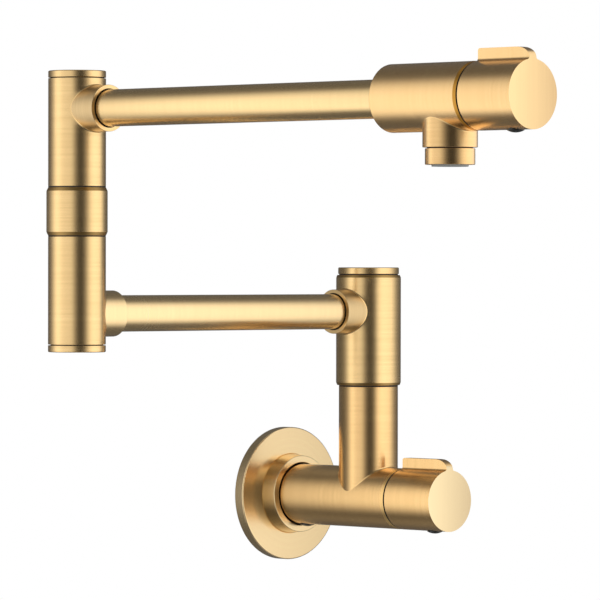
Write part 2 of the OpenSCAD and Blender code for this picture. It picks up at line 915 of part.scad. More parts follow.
module elbow_collar() {
    r = elbow_collar_d / 2;
    hole_r = elbow_bush_r + slip;
    color(gold) at_elbow() rotate_extrude() polygon([
        [hole_r, elbow_collar_z],
        [r - elbow_chamfer_drop, elbow_collar_z],
        [r, elbow_collar_z + elbow_chamfer_h],
        [r, upper_washer_z - elbow_chamfer_h],
        [r - elbow_chamfer_drop, upper_washer_z],
        [hole_r, upper_washer_z]
    ]);
}

module elbow_bush() {
    color(slide_plastic) at_elbow() ring(elbow_pin_r + slip, elbow_bush_r, elbow_collar_z, upper_washer_z);
}

module elbow_washers() {
    color(slide_plastic) at_elbow() {
        ring(elbow_pin_r + slip, column_r - washer_edge, lower_joint_z, elbow_collar_z);
        ring(elbow_pin_r + slip, column_r - washer_edge, upper_washer_z, upper_joint_z);
    }
}

module elbow_upper_column() {
    color(gold) in_upper_column() elbow_column(elbow_pin_r + run, upper_chamber_top, -90);
}

module elbow_top_cap() {
    color(gold) in_upper_column() end_cap();
}

module elbow_top_ring() {
    color(rubber) in_upper_column() end_cap_ring();
}

// Upper arm and spout

module upper_tube() {
    color(gold) on_spout_axis() tube(socket_stop, head_back + head_socket);
}

module upper_tube_seals() {
    color(rubber) on_spout_axis() for (at = [elbow_socket - seal_back, head_back + seal_back]) tube_seal(at);
}

module spout_head() {
    color(gold) difference() {
        union() {
            on_spout_axis() barrel(head_back, head_front, head_back_chamfer);
            at_outlet() bar(boss_r, boss_bottom, upper_z);
        }
        on_spout_axis() {
            bar(tube_r + slip, head_back - over, head_back + head_socket);
            bar(tube_r + socket_gap, head_back - over, head_back + socket_mouth);
            seal_groove(head_back + seal_back);
            bar(passage_r, head_back + head_socket - over, head_front - seat_depth + over);
            headwork_room(head_front);
        }
        at_outlet() {
            bar(outlet_bore_r, aerator_hole_top - over, upper_z);
            bar(aerator_thread_r, boss_bottom - over, aerator_hole_top);
        }
    }
}

module head_cartridge() {
    color(brass) on_spout_axis() headwork_body(head_front);
}

module head_fixed_disc() {
    color(ceramic) on_spout_axis() fixed_disc(head_front);
}

module head_cartridge_seal() {
    color(rubber) on_spout_axis() cartridge_seal(head_front);
}

module head_retaining_nut() {
    color(brass) on_spout_axis() retaining_nut(head_front);
}

module aerator_ring() {
    color(gold) at_outlet() difference() {
        union() {
            bar(aerator_d / 2, aerator_bottom, aerator_top);
            bar(aerator_stub_r, aerator_top - slip, washer_bottom);
        }
        bar(insert_r + slip, aerator_bottom - over, washer_bottom + over);
    }
}

// Middles of the jets, on a grid of equal triangles
jet_places = [
    for (row = [-jet_rings : jet_rings])
        for (column = [-jet_rings : jet_rings])
            if (abs(row + column) <= jet_rings)
                [(column + row / 2) * jet_step, row * jet_step * sin(60)]
];

module aerator_insert() {
    color(insert_plastic) at_outlet() difference() {
        bar(insert_r, insert_bottom, washer_bottom);
        bar(insert_r - tube_wall, insert_bottom + jet_plate_t, washer_bottom + over);
        for (place = jet_places) translate(place) bar(jet_d / 2, insert_bottom - over, insert_bottom + jet_plate_t + over);
    }
}

module aerator_gasket() {
    color(rubber) at_outlet() ring(outlet_bore_r, aerator_stub_r, washer_bottom, aerator_hole_top);
}

// Upper lever

module head_handle() {
    color(gold) on_spout_axis() lever(head_front);
}

module head_stem() {
    color(brass) on_spout_axis() stem(head_front);
}

module head_stem_ring() {
    color(rubber) on_spout_axis() stem_ring(head_front);
}

module head_moving_disc() {
    color(ceramic) on_spout_axis() moving_disc(head_front);
}

module head_handle_screw() {
    color(steel) on_spout_axis() lever_screw(head_front);
}

module head_handle_plug() {
    color(plug_plastic) on_spout_axis() lever_plug(head_front);
}

wall_flange();
flange_gasket();
flange_o_ring();
inlet_adapter();
inlet_o_rings();
valve_body();
body_set_screw();
body_screw_plug();
base_cartridge();
base_fixed_disc();
base_cartridge_seal();
base_retaining_nut();
riser_spindle();
spindle_o_rings();
sleeve_washers();
riser_cap();
base_handle();
base_stem();
base_stem_ring();
base_moving_disc();
base_handle_screw();
base_handle_plug();
lower_sleeve();
lower_tube();
lower_tube_seals();
elbow_lower_column();
elbow_bottom_cap();
elbow_bottom_ring();
elbow_spindle();
elbow_collar();
elbow_bush();
elbow_o_rings();
elbow_washers();
elbow_retaining_clip();
elbow_upper_column();
elbow_top_cap();
elbow_top_ring();
upper_tube();
upper_tube_seals();
spout_head();
head_cartridge();
head_fixed_disc();
head_cartridge_seal();
head_retaining_nut();
aerator_ring();
aerator_insert();
aerator_gasket();
head_handle();
head_stem();
head_stem_ring();
head_moving_disc();
head_handle_screw();
head_handle_plug();
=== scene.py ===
"""Looks of the wall mounted pot filler, built round its fixed frame.

The classes hold their sizes in millimetres; a piece's mesh becomes metres where it is placed.
"""

import json
import logging
import math
from dataclasses import dataclass, field
from enum import Enum
from typing import Callable, Iterable, Mapping, Sequence, Union

import bmesh
import bpy
from mathutils import Matrix, Vector


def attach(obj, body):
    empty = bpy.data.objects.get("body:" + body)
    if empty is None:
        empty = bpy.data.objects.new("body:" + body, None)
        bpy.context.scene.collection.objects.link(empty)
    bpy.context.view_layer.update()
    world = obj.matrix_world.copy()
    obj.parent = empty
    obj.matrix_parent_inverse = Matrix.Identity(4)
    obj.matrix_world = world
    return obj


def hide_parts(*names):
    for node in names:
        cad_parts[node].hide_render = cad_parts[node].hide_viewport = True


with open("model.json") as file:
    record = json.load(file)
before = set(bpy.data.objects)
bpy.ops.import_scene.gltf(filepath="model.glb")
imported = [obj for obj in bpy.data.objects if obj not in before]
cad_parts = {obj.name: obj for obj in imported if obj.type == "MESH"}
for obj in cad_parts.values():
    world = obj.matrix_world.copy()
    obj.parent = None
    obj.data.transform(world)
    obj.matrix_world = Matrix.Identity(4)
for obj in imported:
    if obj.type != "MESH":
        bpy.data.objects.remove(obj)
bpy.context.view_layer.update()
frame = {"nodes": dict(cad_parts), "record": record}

LOG = logging.getLogger("pot_filler")
MM = 0.001
TURN = 2 * math.pi
ROUND_STEPS = 128
WELD = 0.002
CREASE = math.radians(30)

Triple = tuple[float, float, float]
Point = tuple[float, float]
Corner = Union[Point, Triple]
Paint = Callable[[Vector, Vector], int]


class Axis(Enum):
    """An axis of the part's frame."""

    X = 0
    Y = 1
    Z = 2


# Distances between the axes, and sizes that several pieces share

POST_OUT = 67.3
ELBOW_X = -212.2
LOWER_Z = 101.5
UPPER_Z = 207.0
OUTLET_Y = -335.0
VALVE_FRONT = 94.7
HEAD_FRONT = 286.9
BARREL_R = 16.55
BACK_CHAMFER = 0.45
BACK_ROUND = 0.15
TUBE_R = 9.5
TUBE_WALL = 1.25
SOCKET_R = 12.0
SOCKET_ROUND = 0.22
MOUTH_R = 10.1
MOUTH_DEEP = 2.5
FILLET = 0.9

# Slack of the zones that choose a face's finish

MARGIN = 0.1

# A normal's share along the axis, from which a face is a flat end, and between which it is a chamfer

FLAT = 0.9
SLANT = (0.15, 0.8)


# Shader maths


class Wire:
    """One socket that takes part in shader maths."""

    def __init__(self, graph: "Graph", socket: bpy.types.NodeSocket) -> None:
        """Keeps the socket and the graph that its maths goes into."""
        self.graph = graph
        self.socket = socket

    def _maths(self, kind: str, other: "Term", swapped: bool = False) -> "Wire":
        """Adds a Math node of this kind; swapped puts the other value first."""
        pair = (other, self) if swapped else (self, other)
        return self.graph.node("ShaderNodeMath", {"operation": kind}, {0: pair[0], 1: pair[1]})

    def __add__(self, other: "Term") -> "Wire":
        """Sum."""
        return self._maths("ADD", other)

    def __radd__(self, other: "Term") -> "Wire":
        """Sum, reflected."""
        return self._maths("ADD", other, True)

    def __sub__(self, other: "Term") -> "Wire":
        """Difference."""
        return self._maths("SUBTRACT", other)

    def __rsub__(self, other: "Term") -> "Wire":
        """Difference, reflected."""
        return self._maths("SUBTRACT", other, True)

    def __mul__(self, other: "Term") -> "Wire":
        """Product."""
        return self._maths("MULTIPLY", other)

    def __rmul__(self, other: "Term") -> "Wire":
        """Product, reflected."""
        return self._maths("MULTIPLY", other, True)


Term = Union[Wire, float, int]


class Graph:
    """The nodes of one material or of the world."""

    def __init__(self, tree: bpy.types.NodeTree) -> None:
        """Keeps the tree and empties it."""
        self.tree = tree
        tree.nodes.clear()

    def node(self, kind: str, settings: Mapping[str, object] | None = None,
             inputs: Mapping[int | str, object] | None = None, output: int | str = 0) -> Wire:
        """Adds a node of any type.

        Args:
            kind: the node's type.
            settings: properties that are set first; "stops" fills a ramp.
            inputs: values or wires by socket number or name.
            output: the output socket's number or name.

        Returns:
            The chosen output.
        """
        new = self.tree.nodes.new(kind)
        for name, value in (settings or {}).items():
            if name == "stops":
                self._fill_ramp(new.color_ramp, value)
            else:
                setattr(new, name, value)
        for name, value in (inputs or {}).items():
            if isinstance(value, Wire):
                self.tree.links.new(value.socket, new.inputs[name])
            else:
                new.inputs[name].default_value = value
        return Wire(self, new.outputs[output] if len(new.outputs) else None)

    @staticmethod
    def _fill_ramp(ramp: bpy.types.ColorRamp, stops: Sequence[tuple[float, Triple]]) -> None:
        """Sets a ramp's stops.

        Args:
            ramp: the ramp.
            stops: place and colour of each stop, in order.
        """
        while len(ramp.elements) < len(stops):
            ramp.elements.new(1.0)
        for element, (place, colour) in zip(ramp.elements, stops):
            element.position = place
            element.color = (*colour, 1.0)

    def blend(self, factor: Term, low: object, high: object) -> Wire:
        """Mixes two colours, each a wire or a triple: factor 0 gives the low one, 1 the high one."""
        pair = [value if isinstance(value, Wire) else (*value, 1.0) for value in (low, high)]
        return self.node("ShaderNodeMix", {"data_type": "RGBA", "clamp_factor": True},
                         {0: factor, 6: pair[0], 7: pair[1]}, 2)

    def object_place(self, cycles: Triple = (1.0, 1.0, 1.0)) -> Wire:
        """Object coordinates, stretched to these cycles per metre."""
        place = self.node("ShaderNodeTexCoord", output="Object")
        return self.node("ShaderNodeMapping", {"vector_type": "POINT"}, {"Vector": place, "Scale": cycles})

    def measure(self, place: Wire, axis: Axis) -> Wire:
        """One coordinate of a place."""
        return self.node("ShaderNodeSeparateXYZ", None, {0: place}, axis.name)

    def along(self, place: Wire, direction: Sequence[float]) -> Wire:
        """How far a place lies along a direction."""
        return self.node("ShaderNodeVectorMath", {"operation": "DOT_PRODUCT"},
                         {0: place, 1: direction}, "Value")

    def ease(self, value: Wire, low: float, high: float, to_low: float = 0.0, to_high: float = 1.0) -> Wire:
        """Takes a value smoothly from one range to another."""
        return self.node("ShaderNodeMapRange", {"interpolation_type": "SMOOTHSTEP"}, {
            "Value": value, "From Min": low, "From Max": high, "To Min": to_low, "To Max": to_high})

    def noise(self, place: Wire, octaves: float = 2.0, rough: float = 0.5) -> Wire:
        """Noise between 0 and 1, one cycle to a unit; octaves counts those after the first."""
        return self.node("ShaderNodeTexNoise", {"noise_dimensions": "3D"},
                         {"Vector": place, "Scale": 1.0, "Detail": octaves, "Roughness": rough})

    def grain(self, cycles: float, octaves: float = 2.0, rough: float = 0.5) -> Wire:
        """Noise that is alike in every direction, with so many cycles per metre."""
        return self.noise(self.object_place((cycles,) * 3), octaves, rough)

    def bump(self, height: Wire, depth: float) -> Wire:
        """Normal bumped by a relief from 0 to 1 that is this many metres deep."""
        return self.node("ShaderNodeBump", None, {"Height": height, "Distance": depth, "Strength": 1.0})

    def surface(self, fixed: Mapping[str, object], varied: Mapping[str, Wire]) -> None:
        """Ends the graph in a Principled shader with sockets that are fixed or vary over the surface."""
        shader = self.node("ShaderNodeBsdfPrincipled", None, {**fixed, **varied})
        self.node("ShaderNodeOutputMaterial", None, {"Surface": shader})


def new_material(name: str) -> tuple[bpy.types.Material, Graph]:
    """Makes an empty material.

    Args:
        name: the material's name.

    Returns:
        The material and the graph that fills it.
    """
    material = bpy.data.materials.new(name)
    material.use_nodes = True
    return material, Graph(material.node_tree)


# Finishes


@dataclass(frozen=True)
class BrushedGold:
    """Satin gold with fine brush lines that follow each other along one axis.

    A swing is how far the brush lines and the clouds move a value; relief is in metres.
    """

    name: str
    across: Axis
    light: Triple = (0.98, 0.685, 0.32)
    dark: Triple = (0.86, 0.58, 0.255)
    roughness: float = 0.26
    coat: float = 1.0
    coat_roughness: float = 0.4
    coat_ior: float = 1.28
    hair_cycles: float = 9000.0
    line_cycles: float = 1500.0
    line_octaves: float = 3.0
    line_rough: float = 0.6
    band_cycles: float = 420.0
    hair_run: float = 500.0
    run: float = 16.0
    cloud_cycles: float = 26.0
    relief: float = 0.000012
    lean: float = 0.0
    line_share: float = 0.62
    tone_swing: Point = (2.2, 0.5)
    rough_swing: Point = (0.04, 0.05)
    hair_height: float = 0.7
    line_height: float = 0.1

    def place(self, graph: Graph, cycles: float, run: float) -> Wire:
        """Coordinates that pack the lines along the axis and draw them out across it."""
        return graph.object_place(tuple(cycles if axis is self.across else run for axis in Axis))

    def tone(self, graph: Graph, brushing: Wire, clouds: Wire) -> Wire:
        """Chooses between the dark colour, 0, and the light one, 1."""
        return (brushing - 0.5) * self.tone_swing[0] + (clouds - 0.5) * self.tone_swing[1] + 0.5

    def make(self) -> bpy.types.Material:
        """Builds the material.

        Returns:
            The material.
        """
        material, graph = new_material(self.name)
        hairs = graph.noise(self.place(graph, self.hair_cycles, self.hair_run))
        lines = graph.noise(self.place(graph, self.line_cycles, self.run), self.line_octaves, self.line_rough)
        bands = graph.noise(self.place(graph, self.band_cycles, self.run))
        clouds = graph.grain(self.cloud_cycles)
        brushing = lines * self.line_share + bands * (1 - self.line_share)
        rough = (brushing - 0.5) * self.rough_swing[0] + (clouds - 0.5) * self.rough_swing[1] + self.roughness
        height = hairs * self.hair_height + lines * self.line_height
        if self.lean:
            height = height + graph.measure(graph.object_place(), self.across) * (self.lean / self.relief)
        graph.surface(
            {"Metallic": 1.0, "Coat Weight": self.coat, "Coat Roughness": self.coat_roughness,
             "Coat IOR": self.coat_ior},
            {"Base Color": graph.blend(self.tone(graph, brushing, clouds), self.dark, self.light),
             "Roughness": rough, "Normal": graph.bump(height, self.relief)},
        )
        return material


@dataclass(frozen=True)
class EndFaceGoldPaintedSheen(BrushedGold):
    """The same gold on a lever's end face with a painted sheen: lighter towards the lower X, darker across
    the face.
    """

    roughness: float = 0.3
    relief: float = 0.00001
    tone_swing: Point = (0.3, 0.2)
    middle: float = 0.0
    half: float = BARREL_R * MM
    # how far the painted sheen darkens the colour across the face
    fade: float = 0.42

    def tone(self, graph: Graph, brushing: Wire, clouds: Wire) -> Wire:
        """Paints the sheen: lets the light colour fade into the dark one across the face."""
        beside = graph.measure(graph.object_place(), Axis.X) - self.middle
        return super().tone(graph, brushing, clouds) - beside * (self.fade / self.half)


@dataclass(frozen=True)
class FacedGold(BrushedGold):
    """The same gold with rings round an axis through the origin, as a lathe leaves them on a plate."""

    roughness: float = 0.24
    relief: float = 0.000003

    def place(self, graph: Graph, cycles: float, run: float) -> Wire:
        """Spreads the rings by their radius, and along the axis.

        Args:
            graph: the material's graph.
            cycles: rings per metre.
            run: cycles per metre round the axis; the rings have none.

        Returns:
            Coordinates for the noise.
        """
        flat = graph.object_place(tuple(0.0 if axis is self.across else cycles for axis in Axis))
        radius = graph.node("ShaderNodeVectorMath", {"operation": "LENGTH"}, {0: flat}, "Value")
        along = graph.measure(graph.object_place((cycles,) * 3), self.across)
        return graph.node("ShaderNodeCombineXYZ", None, {0: radius, 1: along})


@dataclass(frozen=True)
class Grained:
    """Plastic, rubber, foam or ceramic: fine grain over wide clouds.

    Grain and clouds are cycles per metre, octaves after the first and their strength.
    """

    name: str
    light: Triple
    dark: Triple
    roughness: float = 0.5
    metallic: float = 0.0
    grain: Triple = (1500.0, 3.0, 0.6)
    clouds: Triple = (70.0, 2.0, 0.5)
    grain_share: float = 0.5
    rough_swing: Point = (0.2, 0.0)
    relief: float = 0.00001

    def make(self) -> bpy.types.Material:
        """Builds the material.

        Returns:
            The material.
        """
        material, graph = new_material(self.name)
        grain, clouds = graph.grain(*self.grain), graph.grain(*self.clouds)
        tone = grain * self.grain_share + clouds * (1 - self.grain_share)
        rough = (grain - 0.5) * self.rough_swing[0] + (clouds - 0.5) * self.rough_swing[1] + self.roughness
        graph.surface({"Metallic": self.metallic},
                      {"Base Color": graph.blend(tone, self.dark, self.light), "Roughness": rough,
                       "Normal": graph.bump(grain, self.relief)})
        return material


@dataclass(frozen=True)
class BurnishedAndPaintedLightGold(Grained):
    """Smoother gold; its deep orange default is a painted reflection of gold in gold on the turned chamfers
    at the joints.
    """

    light: Triple = (0.82, 0.42, 0.075)
    dark: Triple = (0.64, 0.31, 0.05)
    roughness: float = 0.33
    metallic: float = 1.0
    grain: Triple = (900.0, 2.0, 0.5)
    clouds: Triple = (45.0, 2.0, 0.5)
    rough_swing: Point = (0.12, 0.0)
    relief: float = 0.000003


@dataclass(frozen=True)
class TurnedMetal(Grained):
    """Bare metal with the marks of the lathe; only its stains change its colour."""

    roughness: float = 0.32
    metallic: float = 1.0
    grain: Triple = (1800.0, 2.0, 0.6)
    clouds: Triple = (120.0, 4.0, 0.6)
    grain_share: float = 0.0
    rough_swing: Point = (0.2, 0.15)
    relief: float = 0.000005


class Finishes:
    """Every finish of the part, each made once."""

    def __init__(self) -> None:
        """Makes the materials."""
        # riser, lower barrel, boss and outlet ring: a more orange copy of the gold, painted warm light
        painted_warm_light = {"light": (0.98, 0.645, 0.285), "dark": (0.87, 0.545, 0.225)}
        # sockets: rougher gold whose darker colour is painted shade from the column or sleeve beside them
        satin_painted_shade = {"light": (0.83, 0.60, 0.30), "dark": (0.71, 0.50, 0.24), "roughness": 0.35}
        faint = {"relief": 0.000005}
        self.post = BrushedGold("gold_post", Axis.Z, **faint).make()
        self.post_warm = BrushedGold("gold_post_warm", Axis.Z, **faint, **painted_warm_light).make()
        self.barrel = BrushedGold("gold_barrel", Axis.Y, (1.0, 0.67, 0.305), (0.94, 0.60, 0.255),
                                  lean=-0.07).make()
        self.barrel_lower = BrushedGold("gold_barrel_lower_painted_warm_light", Axis.Y, lean=0.14, **painted_warm_light).make()
        # tubes: brighter, yellower copies of the gold, painted light; the lower one is brighter still
        self.tube_lower = BrushedGold("gold_tube_lower_painted_light", Axis.X, (1.0, 0.75, 0.39),
                                      (0.97, 0.69, 0.35)).make()
        self.tube_upper = BrushedGold("gold_tube_upper_painted_light", Axis.Y, (1.0, 0.72, 0.345),
                                      (0.96, 0.665, 0.31)).make()
        self.socket_lower = BrushedGold("gold_socket_lower_painted_shade", Axis.X, **satin_painted_shade).make()
        self.socket_upper = BrushedGold("gold_socket_upper_painted_shade", Axis.Y, **satin_painted_shade).make()
        self.faced = FacedGold("gold_faced", Axis.Y, (1.0, 0.765, 0.42), (0.98, 0.72, 0.39)).make()
        self.face = BrushedGold("gold_face", Axis.X, roughness=0.3, relief=0.00001).make()
        # end faces: a painted sheen, so the dark colour is far darker than the light one
        self.end_lower = EndFaceGoldPaintedSheen("gold_end_lower_painted_sheen", Axis.X, (1.0, 0.79, 0.45), (0.66, 0.50, 0.285)).make()
        self.end_upper = EndFaceGoldPaintedSheen("gold_end_upper_painted_sheen", Axis.X, (1.0, 0.715, 0.345), (0.62, 0.415, 0.20),
                                     middle=ELBOW_X * MM).make()
        # turned chamfers: orange painted reflection of the gold faces beside them; the lower one a lighter
        # painted reflection
        self.chamfer = BurnishedAndPaintedLightGold("gold_chamfer").make()
        self.chamfer_lower = BurnishedAndPaintedLightGold("gold_chamfer_lower", (1.0, 0.69, 0.29),
                                           (0.92, 0.58, 0.215)).make()
        # sleeve and collar chamfers: a darker copy of the chamfer gold, painted shade
        self.chamfer_painted_shade = BurnishedAndPaintedLightGold("gold_chamfer_dark", (0.52, 0.33, 0.12),
                                          (0.36, 0.22, 0.075)).make()
        # bevelled edges of the levers' end faces: near-black gold, painted shade
        self.edge = BurnishedAndPaintedLightGold("gold_edge_painted_shade", (0.22, 0.145, 0.06), (0.15, 0.10, 0.04)).make()
        self.fillet = BurnishedAndPaintedLightGold("gold_fillet", (0.98, 0.67, 0.31), (0.94, 0.63, 0.28), 0.13).make()
        self.slots = {one.name: one.make() for one in (
            TurnedMetal("raw_brass", (0.83, 0.62, 0.30), (0.66, 0.47, 0.20)),
            TurnedMetal("screw_steel", (0.66, 0.66, 0.67), (0.5, 0.5, 0.51)),
            Grained("seal_rubber", (0.022, 0.022, 0.022), (0.010, 0.010, 0.010), 0.55),
            Grained("foam", (0.10, 0.10, 0.105), (0.045, 0.045, 0.05), 0.9, grain=(1100.0, 3.0, 0.6),
                    relief=0.0002),
            Grained("ceramic", (0.90, 0.89, 0.86), (0.84, 0.83, 0.79), 0.22, grain=(900.0, 3.0, 0.6),
                    relief=0.000002),
            Grained("slide_plastic", (0.010, 0.010, 0.010), (0.006, 0.006, 0.006)),
            Grained("plug_plastic", (0.016, 0.018, 0.018), (0.008, 0.009, 0.009), 0.28),
            Grained("insert_plastic", (0.30, 0.32, 0.32), (0.22, 0.24, 0.245), 0.38),
        )}

    def gold(self, wall: bpy.types.Material, branch: bpy.types.Material | None = None,
             face: bpy.types.Material | None = None,
             chamfer: bpy.types.Material | None = None) -> list[bpy.types.Material]:
        """Materials of a gold piece in the order of the Part enum; those not given are the usual ones."""
        # the gap slot holds the black rubber, painted shade on gold faces in narrow gaps
        return [wall, branch or wall, face or self.face, chamfer or self.chamfer, self.slots["seal_rubber"],
                self.fillet]


class Part(Enum):
    """Part of a gold piece that has a finish of its own."""

    WALL = 0
    BRANCH = 1
    FACE = 2
    CHAMFER = 3
    # gold faces in narrow gaps, painted black as painted shade
    GAP = 4
    FILLET = 5


# Shapes


def bevel(bm: bmesh.types.BMesh, geom: list, size: float, segments: int, affect: str = "EDGES",
          clamp: bool = False) -> None:
    """Rounds edges or corners by a size; one segment makes a chamfer."""
    bmesh.ops.bevel(bm, geom=geom, offset=size, offset_type="OFFSET", segments=segments, profile=0.5,
                    affect=affect, clamp_overlap=clamp, material=-1)


def pull(bm: bmesh.types.BMesh, edges: list[bmesh.types.BMEdge], lift: float, share: float = 1.0,
         middle: Triple = (0.0, 0.0, 0.0)) -> list[bmesh.types.BMEdge]:
    """Extrudes a ring of open edges along z.

    Args:
        bm: the mesh.
        edges: the ring.
        lift: how far it goes.
        share: the new ring's size against the old one.
        middle: the ring's middle.

    Returns:
        The new ring.
    """
    grown = bmesh.ops.extrude_edge_only(bm, edges=edges)["geom"]
    verts = [item for item in grown if isinstance(item, bmesh.types.BMVert)]
    bmesh.ops.scale(bm, vec=(share, share, 1), space=Matrix.Translation(-Vector(middle)), verts=verts)
    bmesh.ops.translate(bm, vec=(0, 0, lift), verts=verts)
    return [item for item in grown if isinstance(item, bmesh.types.BMEdge)]


def new_object(name: str, bm: bmesh.types.BMesh) -> bpy.types.Object:
    """Puts a mesh in the scene, at the origin.

    Args:
        name: the object's name.
        bm: its mesh, which is freed.

    Returns:
        The object.
    """
    mesh = bpy.data.meshes.new(name)
    bm.to_mesh(mesh)
    bm.free()
    made = bpy.data.objects.new(name, mesh)
    bpy.context.scene.collection.objects.link(made)
    return made


@dataclass(frozen=True)
class Place:
    """Where a piece's own axes lie: it is turned on its z, and its y points up."""

    origin: Triple
    axis: Triple = (0, 0, 1)
    up: Triple = (0, 1, 0)

    def matrix(self) -> Matrix:
        """Matrix from the piece's millimetres to the part's metres.

        Returns:
            The matrix.
        """
        z, y = Vector(self.axis), Vector(self.up)
        turn = Matrix((y.cross(z), y, z)).transposed().to_4x4()
        return Matrix.Translation(Vector(self.origin) * MM) @ turn @ Matrix.Scale(MM, 4)


@dataclass(frozen=True)
class Outline:
    """Half section of a turned piece: radius and height of each corner, and its rounding if it has one."""

    corners: Sequence[Corner]
    closed: bool = False
    wide_round: float = 0.25
    wide_steps: int = 5
    fine_steps: int = 3

    def turn(self, branch: "Branch | None" = None) -> bmesh.types.BMesh:
        """Turns the section round z.

        Args:
            branch: a branch to weld in, whose patch has an edge of its own in the section.

        Returns:
            The shell, open where the section ends off the axis.
        """
        bm = bmesh.new()
        made = [bm.verts.new((corner[0], 0.0, corner[1])) for corner in self.corners]
        pairs = list(zip(made, made[1:])) + ([(made[-1], made[0])] if self.closed else [])
        for pair in pairs:
            bm.edges.new(pair)
        if branch:
            branch.cut_rows(bm)
        for r, h, radius in (corner for corner in self.corners if len(corner) > 2):
            nearest = min(bm.verts, key=lambda vert: (vert.co - Vector((r, 0, h))).length)
            steps = self.wide_steps if radius > self.wide_round else self.fine_steps
            bevel(bm, [nearest], radius, steps, "VERTICES")
        bmesh.ops.spin(bm, geom=bm.verts[:] + bm.edges[:], cent=(0, 0, 0), axis=(0, 0, 1), dvec=(0, 0, 0),
                       angle=TURN, steps=ROUND_STEPS, use_merge=True, use_duplicate=False)
        bmesh.ops.remove_doubles(bm, verts=bm.verts[:], dist=WELD)
        if branch:
            branch.join(bm)
        return bm


@dataclass(frozen=True)
class Branch:
    """Round branch that leaves a turned body at a right angle, with a rolled fillet."""

    body_r: float
    r: float
    at: float
    reach: float
    fillet: float
    rim: Sequence[Point]
    half_rows: int = 18
    spread_rows: int = 7
    fillet_rows: int = 6
    wall_rows: int = 4
    slack: float = 0.1

    @property
    def low(self) -> float:
        """Height on the body where the branch's patch starts."""
        return self.at - self.reach

    @property
    def high(self) -> float:
        """Height on the body where the branch's patch ends."""
        return self.at + self.reach

    def cut_rows(self, bm: bmesh.types.BMesh) -> None:
        """Cuts the section's edge beside the branch in the patch's rows.

        Args:
            bm: the section.
        """
        for edge in bm.edges[:]:
            low, high = sorted(vert.co.z for vert in edge.verts)
            if abs(low - self.low) < WELD and abs(high - self.high) < WELD:
                bmesh.ops.subdivide_edges(bm, edges=[edge], cuts=2 * self.half_rows - 1)

    def join(self, bm: bmesh.types.BMesh) -> None:
        """Opens the body's wall and welds the branch's patch in; the branch lies along x.

        Args:
            bm: the turned body, whose wall is cut in this branch's rows.
        """
        opened = [face for face in bm.faces if self._under_patch(face.calc_center_median())]
        bmesh.ops.delete(bm, geom=opened, context="FACES")
        columns = 4 * self.half_rows + ROUND_STEPS
        deep = self.spread_rows + self.fillet_rows + self.wall_rows + len(self.rim)
        grid = bmesh.ops.create_grid(bm, x_segments=columns, y_segments=deep, size=1.0)["verts"]
        for vert in grid:
            column = round((vert.co.x + 1) / 2 * columns)
            row = round((vert.co.y + 1) / 2 * deep)
            vert.co = self._point(column % columns, row)
        bmesh.ops.remove_doubles(bm, verts=bm.verts[:], dist=WELD)

    def _under_patch(self, centre: Vector) -> bool:
        """Says whether a face of the body with this middle makes room for the patch."""
        outside = math.hypot(centre.x, centre.y) > self.body_r - self.slack
        return outside and centre.x > 0 and self.low < centre.z < self.high

    def _edge(self, column: int) -> Point:
        """Finds a point on the patch's border, which runs up, round the front, down and back.

        Args:
            column: its number along the border.

        Returns:
            Its height and its angle on the body.
        """
        side, half = 2 * self.half_rows, ROUND_STEPS // 2
        span = self.high - self.low
        if column < side:
            return self.low + span * column / side, -math.pi / 2
        column -= side
        if column < half:
            return self.high, math.pi * (column / half - 0.5)
        column -= half
        if column < side:
            return self.high - span * column / side, math.pi / 2
        column -= side
        return self.low, math.pi * (0.5 - column / half)

    def _point(self, column: int, row: int) -> Vector:
        """Place of a point of the patch.

        Args:
            column: number of its column round the branch.
            row: number of its row, counted from the border inwards.

        Returns:
            The place.
        """
        height, angle = self._edge(column)
        ball = self.r + self.fillet
        carrier = self.body_r + self.fillet
        widest = self.body_r * math.asin(ball / carrier)
        round_at = math.atan2(self.body_r * angle / widest, (height - self.at) / ball)
        side = ball * math.sin(round_at)
        centre = Vector((math.sqrt(carrier ** 2 - side ** 2), side, self.at + ball * math.cos(round_at)))
        if row <= self.spread_rows:
            share = row / self.spread_rows
            height += (centre.z - height) * share
            angle += (math.asin(side / carrier) - angle) * share
            return Vector((self.body_r * math.cos(angle), self.body_r * math.sin(angle), height))
        row -= self.spread_rows
        outward = Vector((0, math.sin(round_at), math.cos(round_at)))
        if row <= self.fillet_rows:
            to_body = Vector((-centre.x, -centre.y, 0)).normalized()
            turn = to_body.slerp(-outward, row / self.fillet_rows)
            return centre + turn * self.fillet
        row -= self.fillet_rows
        foot = Vector((0, 0, self.at)) + outward * self.r
        first = self.rim[0][1]
        if row <= self.wall_rows:
            foot.x = centre.x + (first - centre.x) * row / self.wall_rows
            return foot
        radius, reach = self.rim[row - self.wall_rows - 1]
        return Vector((reach, 0, self.at)) + outward * radius


def rounded_rim(r: float, end: float, size: float, hole_r: float, hole_deep: float) -> list[Point]:
    """Rim of a branch: a small rounding, and a blind hole inside it.

    Args:
        r: the branch's radius.
        end: distance from the body's axis to the rim.
        size: radius of the rounding.
        hole_r: radius of the hole.
        hole_deep: depth of the hole.

    Returns:
        Radius and distance of each row.
    """
    steps = 4
    arc = [(r - size + size * math.cos(turn), end - size + size * math.sin(turn))
           for turn in (math.pi / 2 * step / steps for step in range(steps + 1))]
    return arc + [(hole_r, end), (hole_r, end - hole_deep), (0, end - hole_deep)]


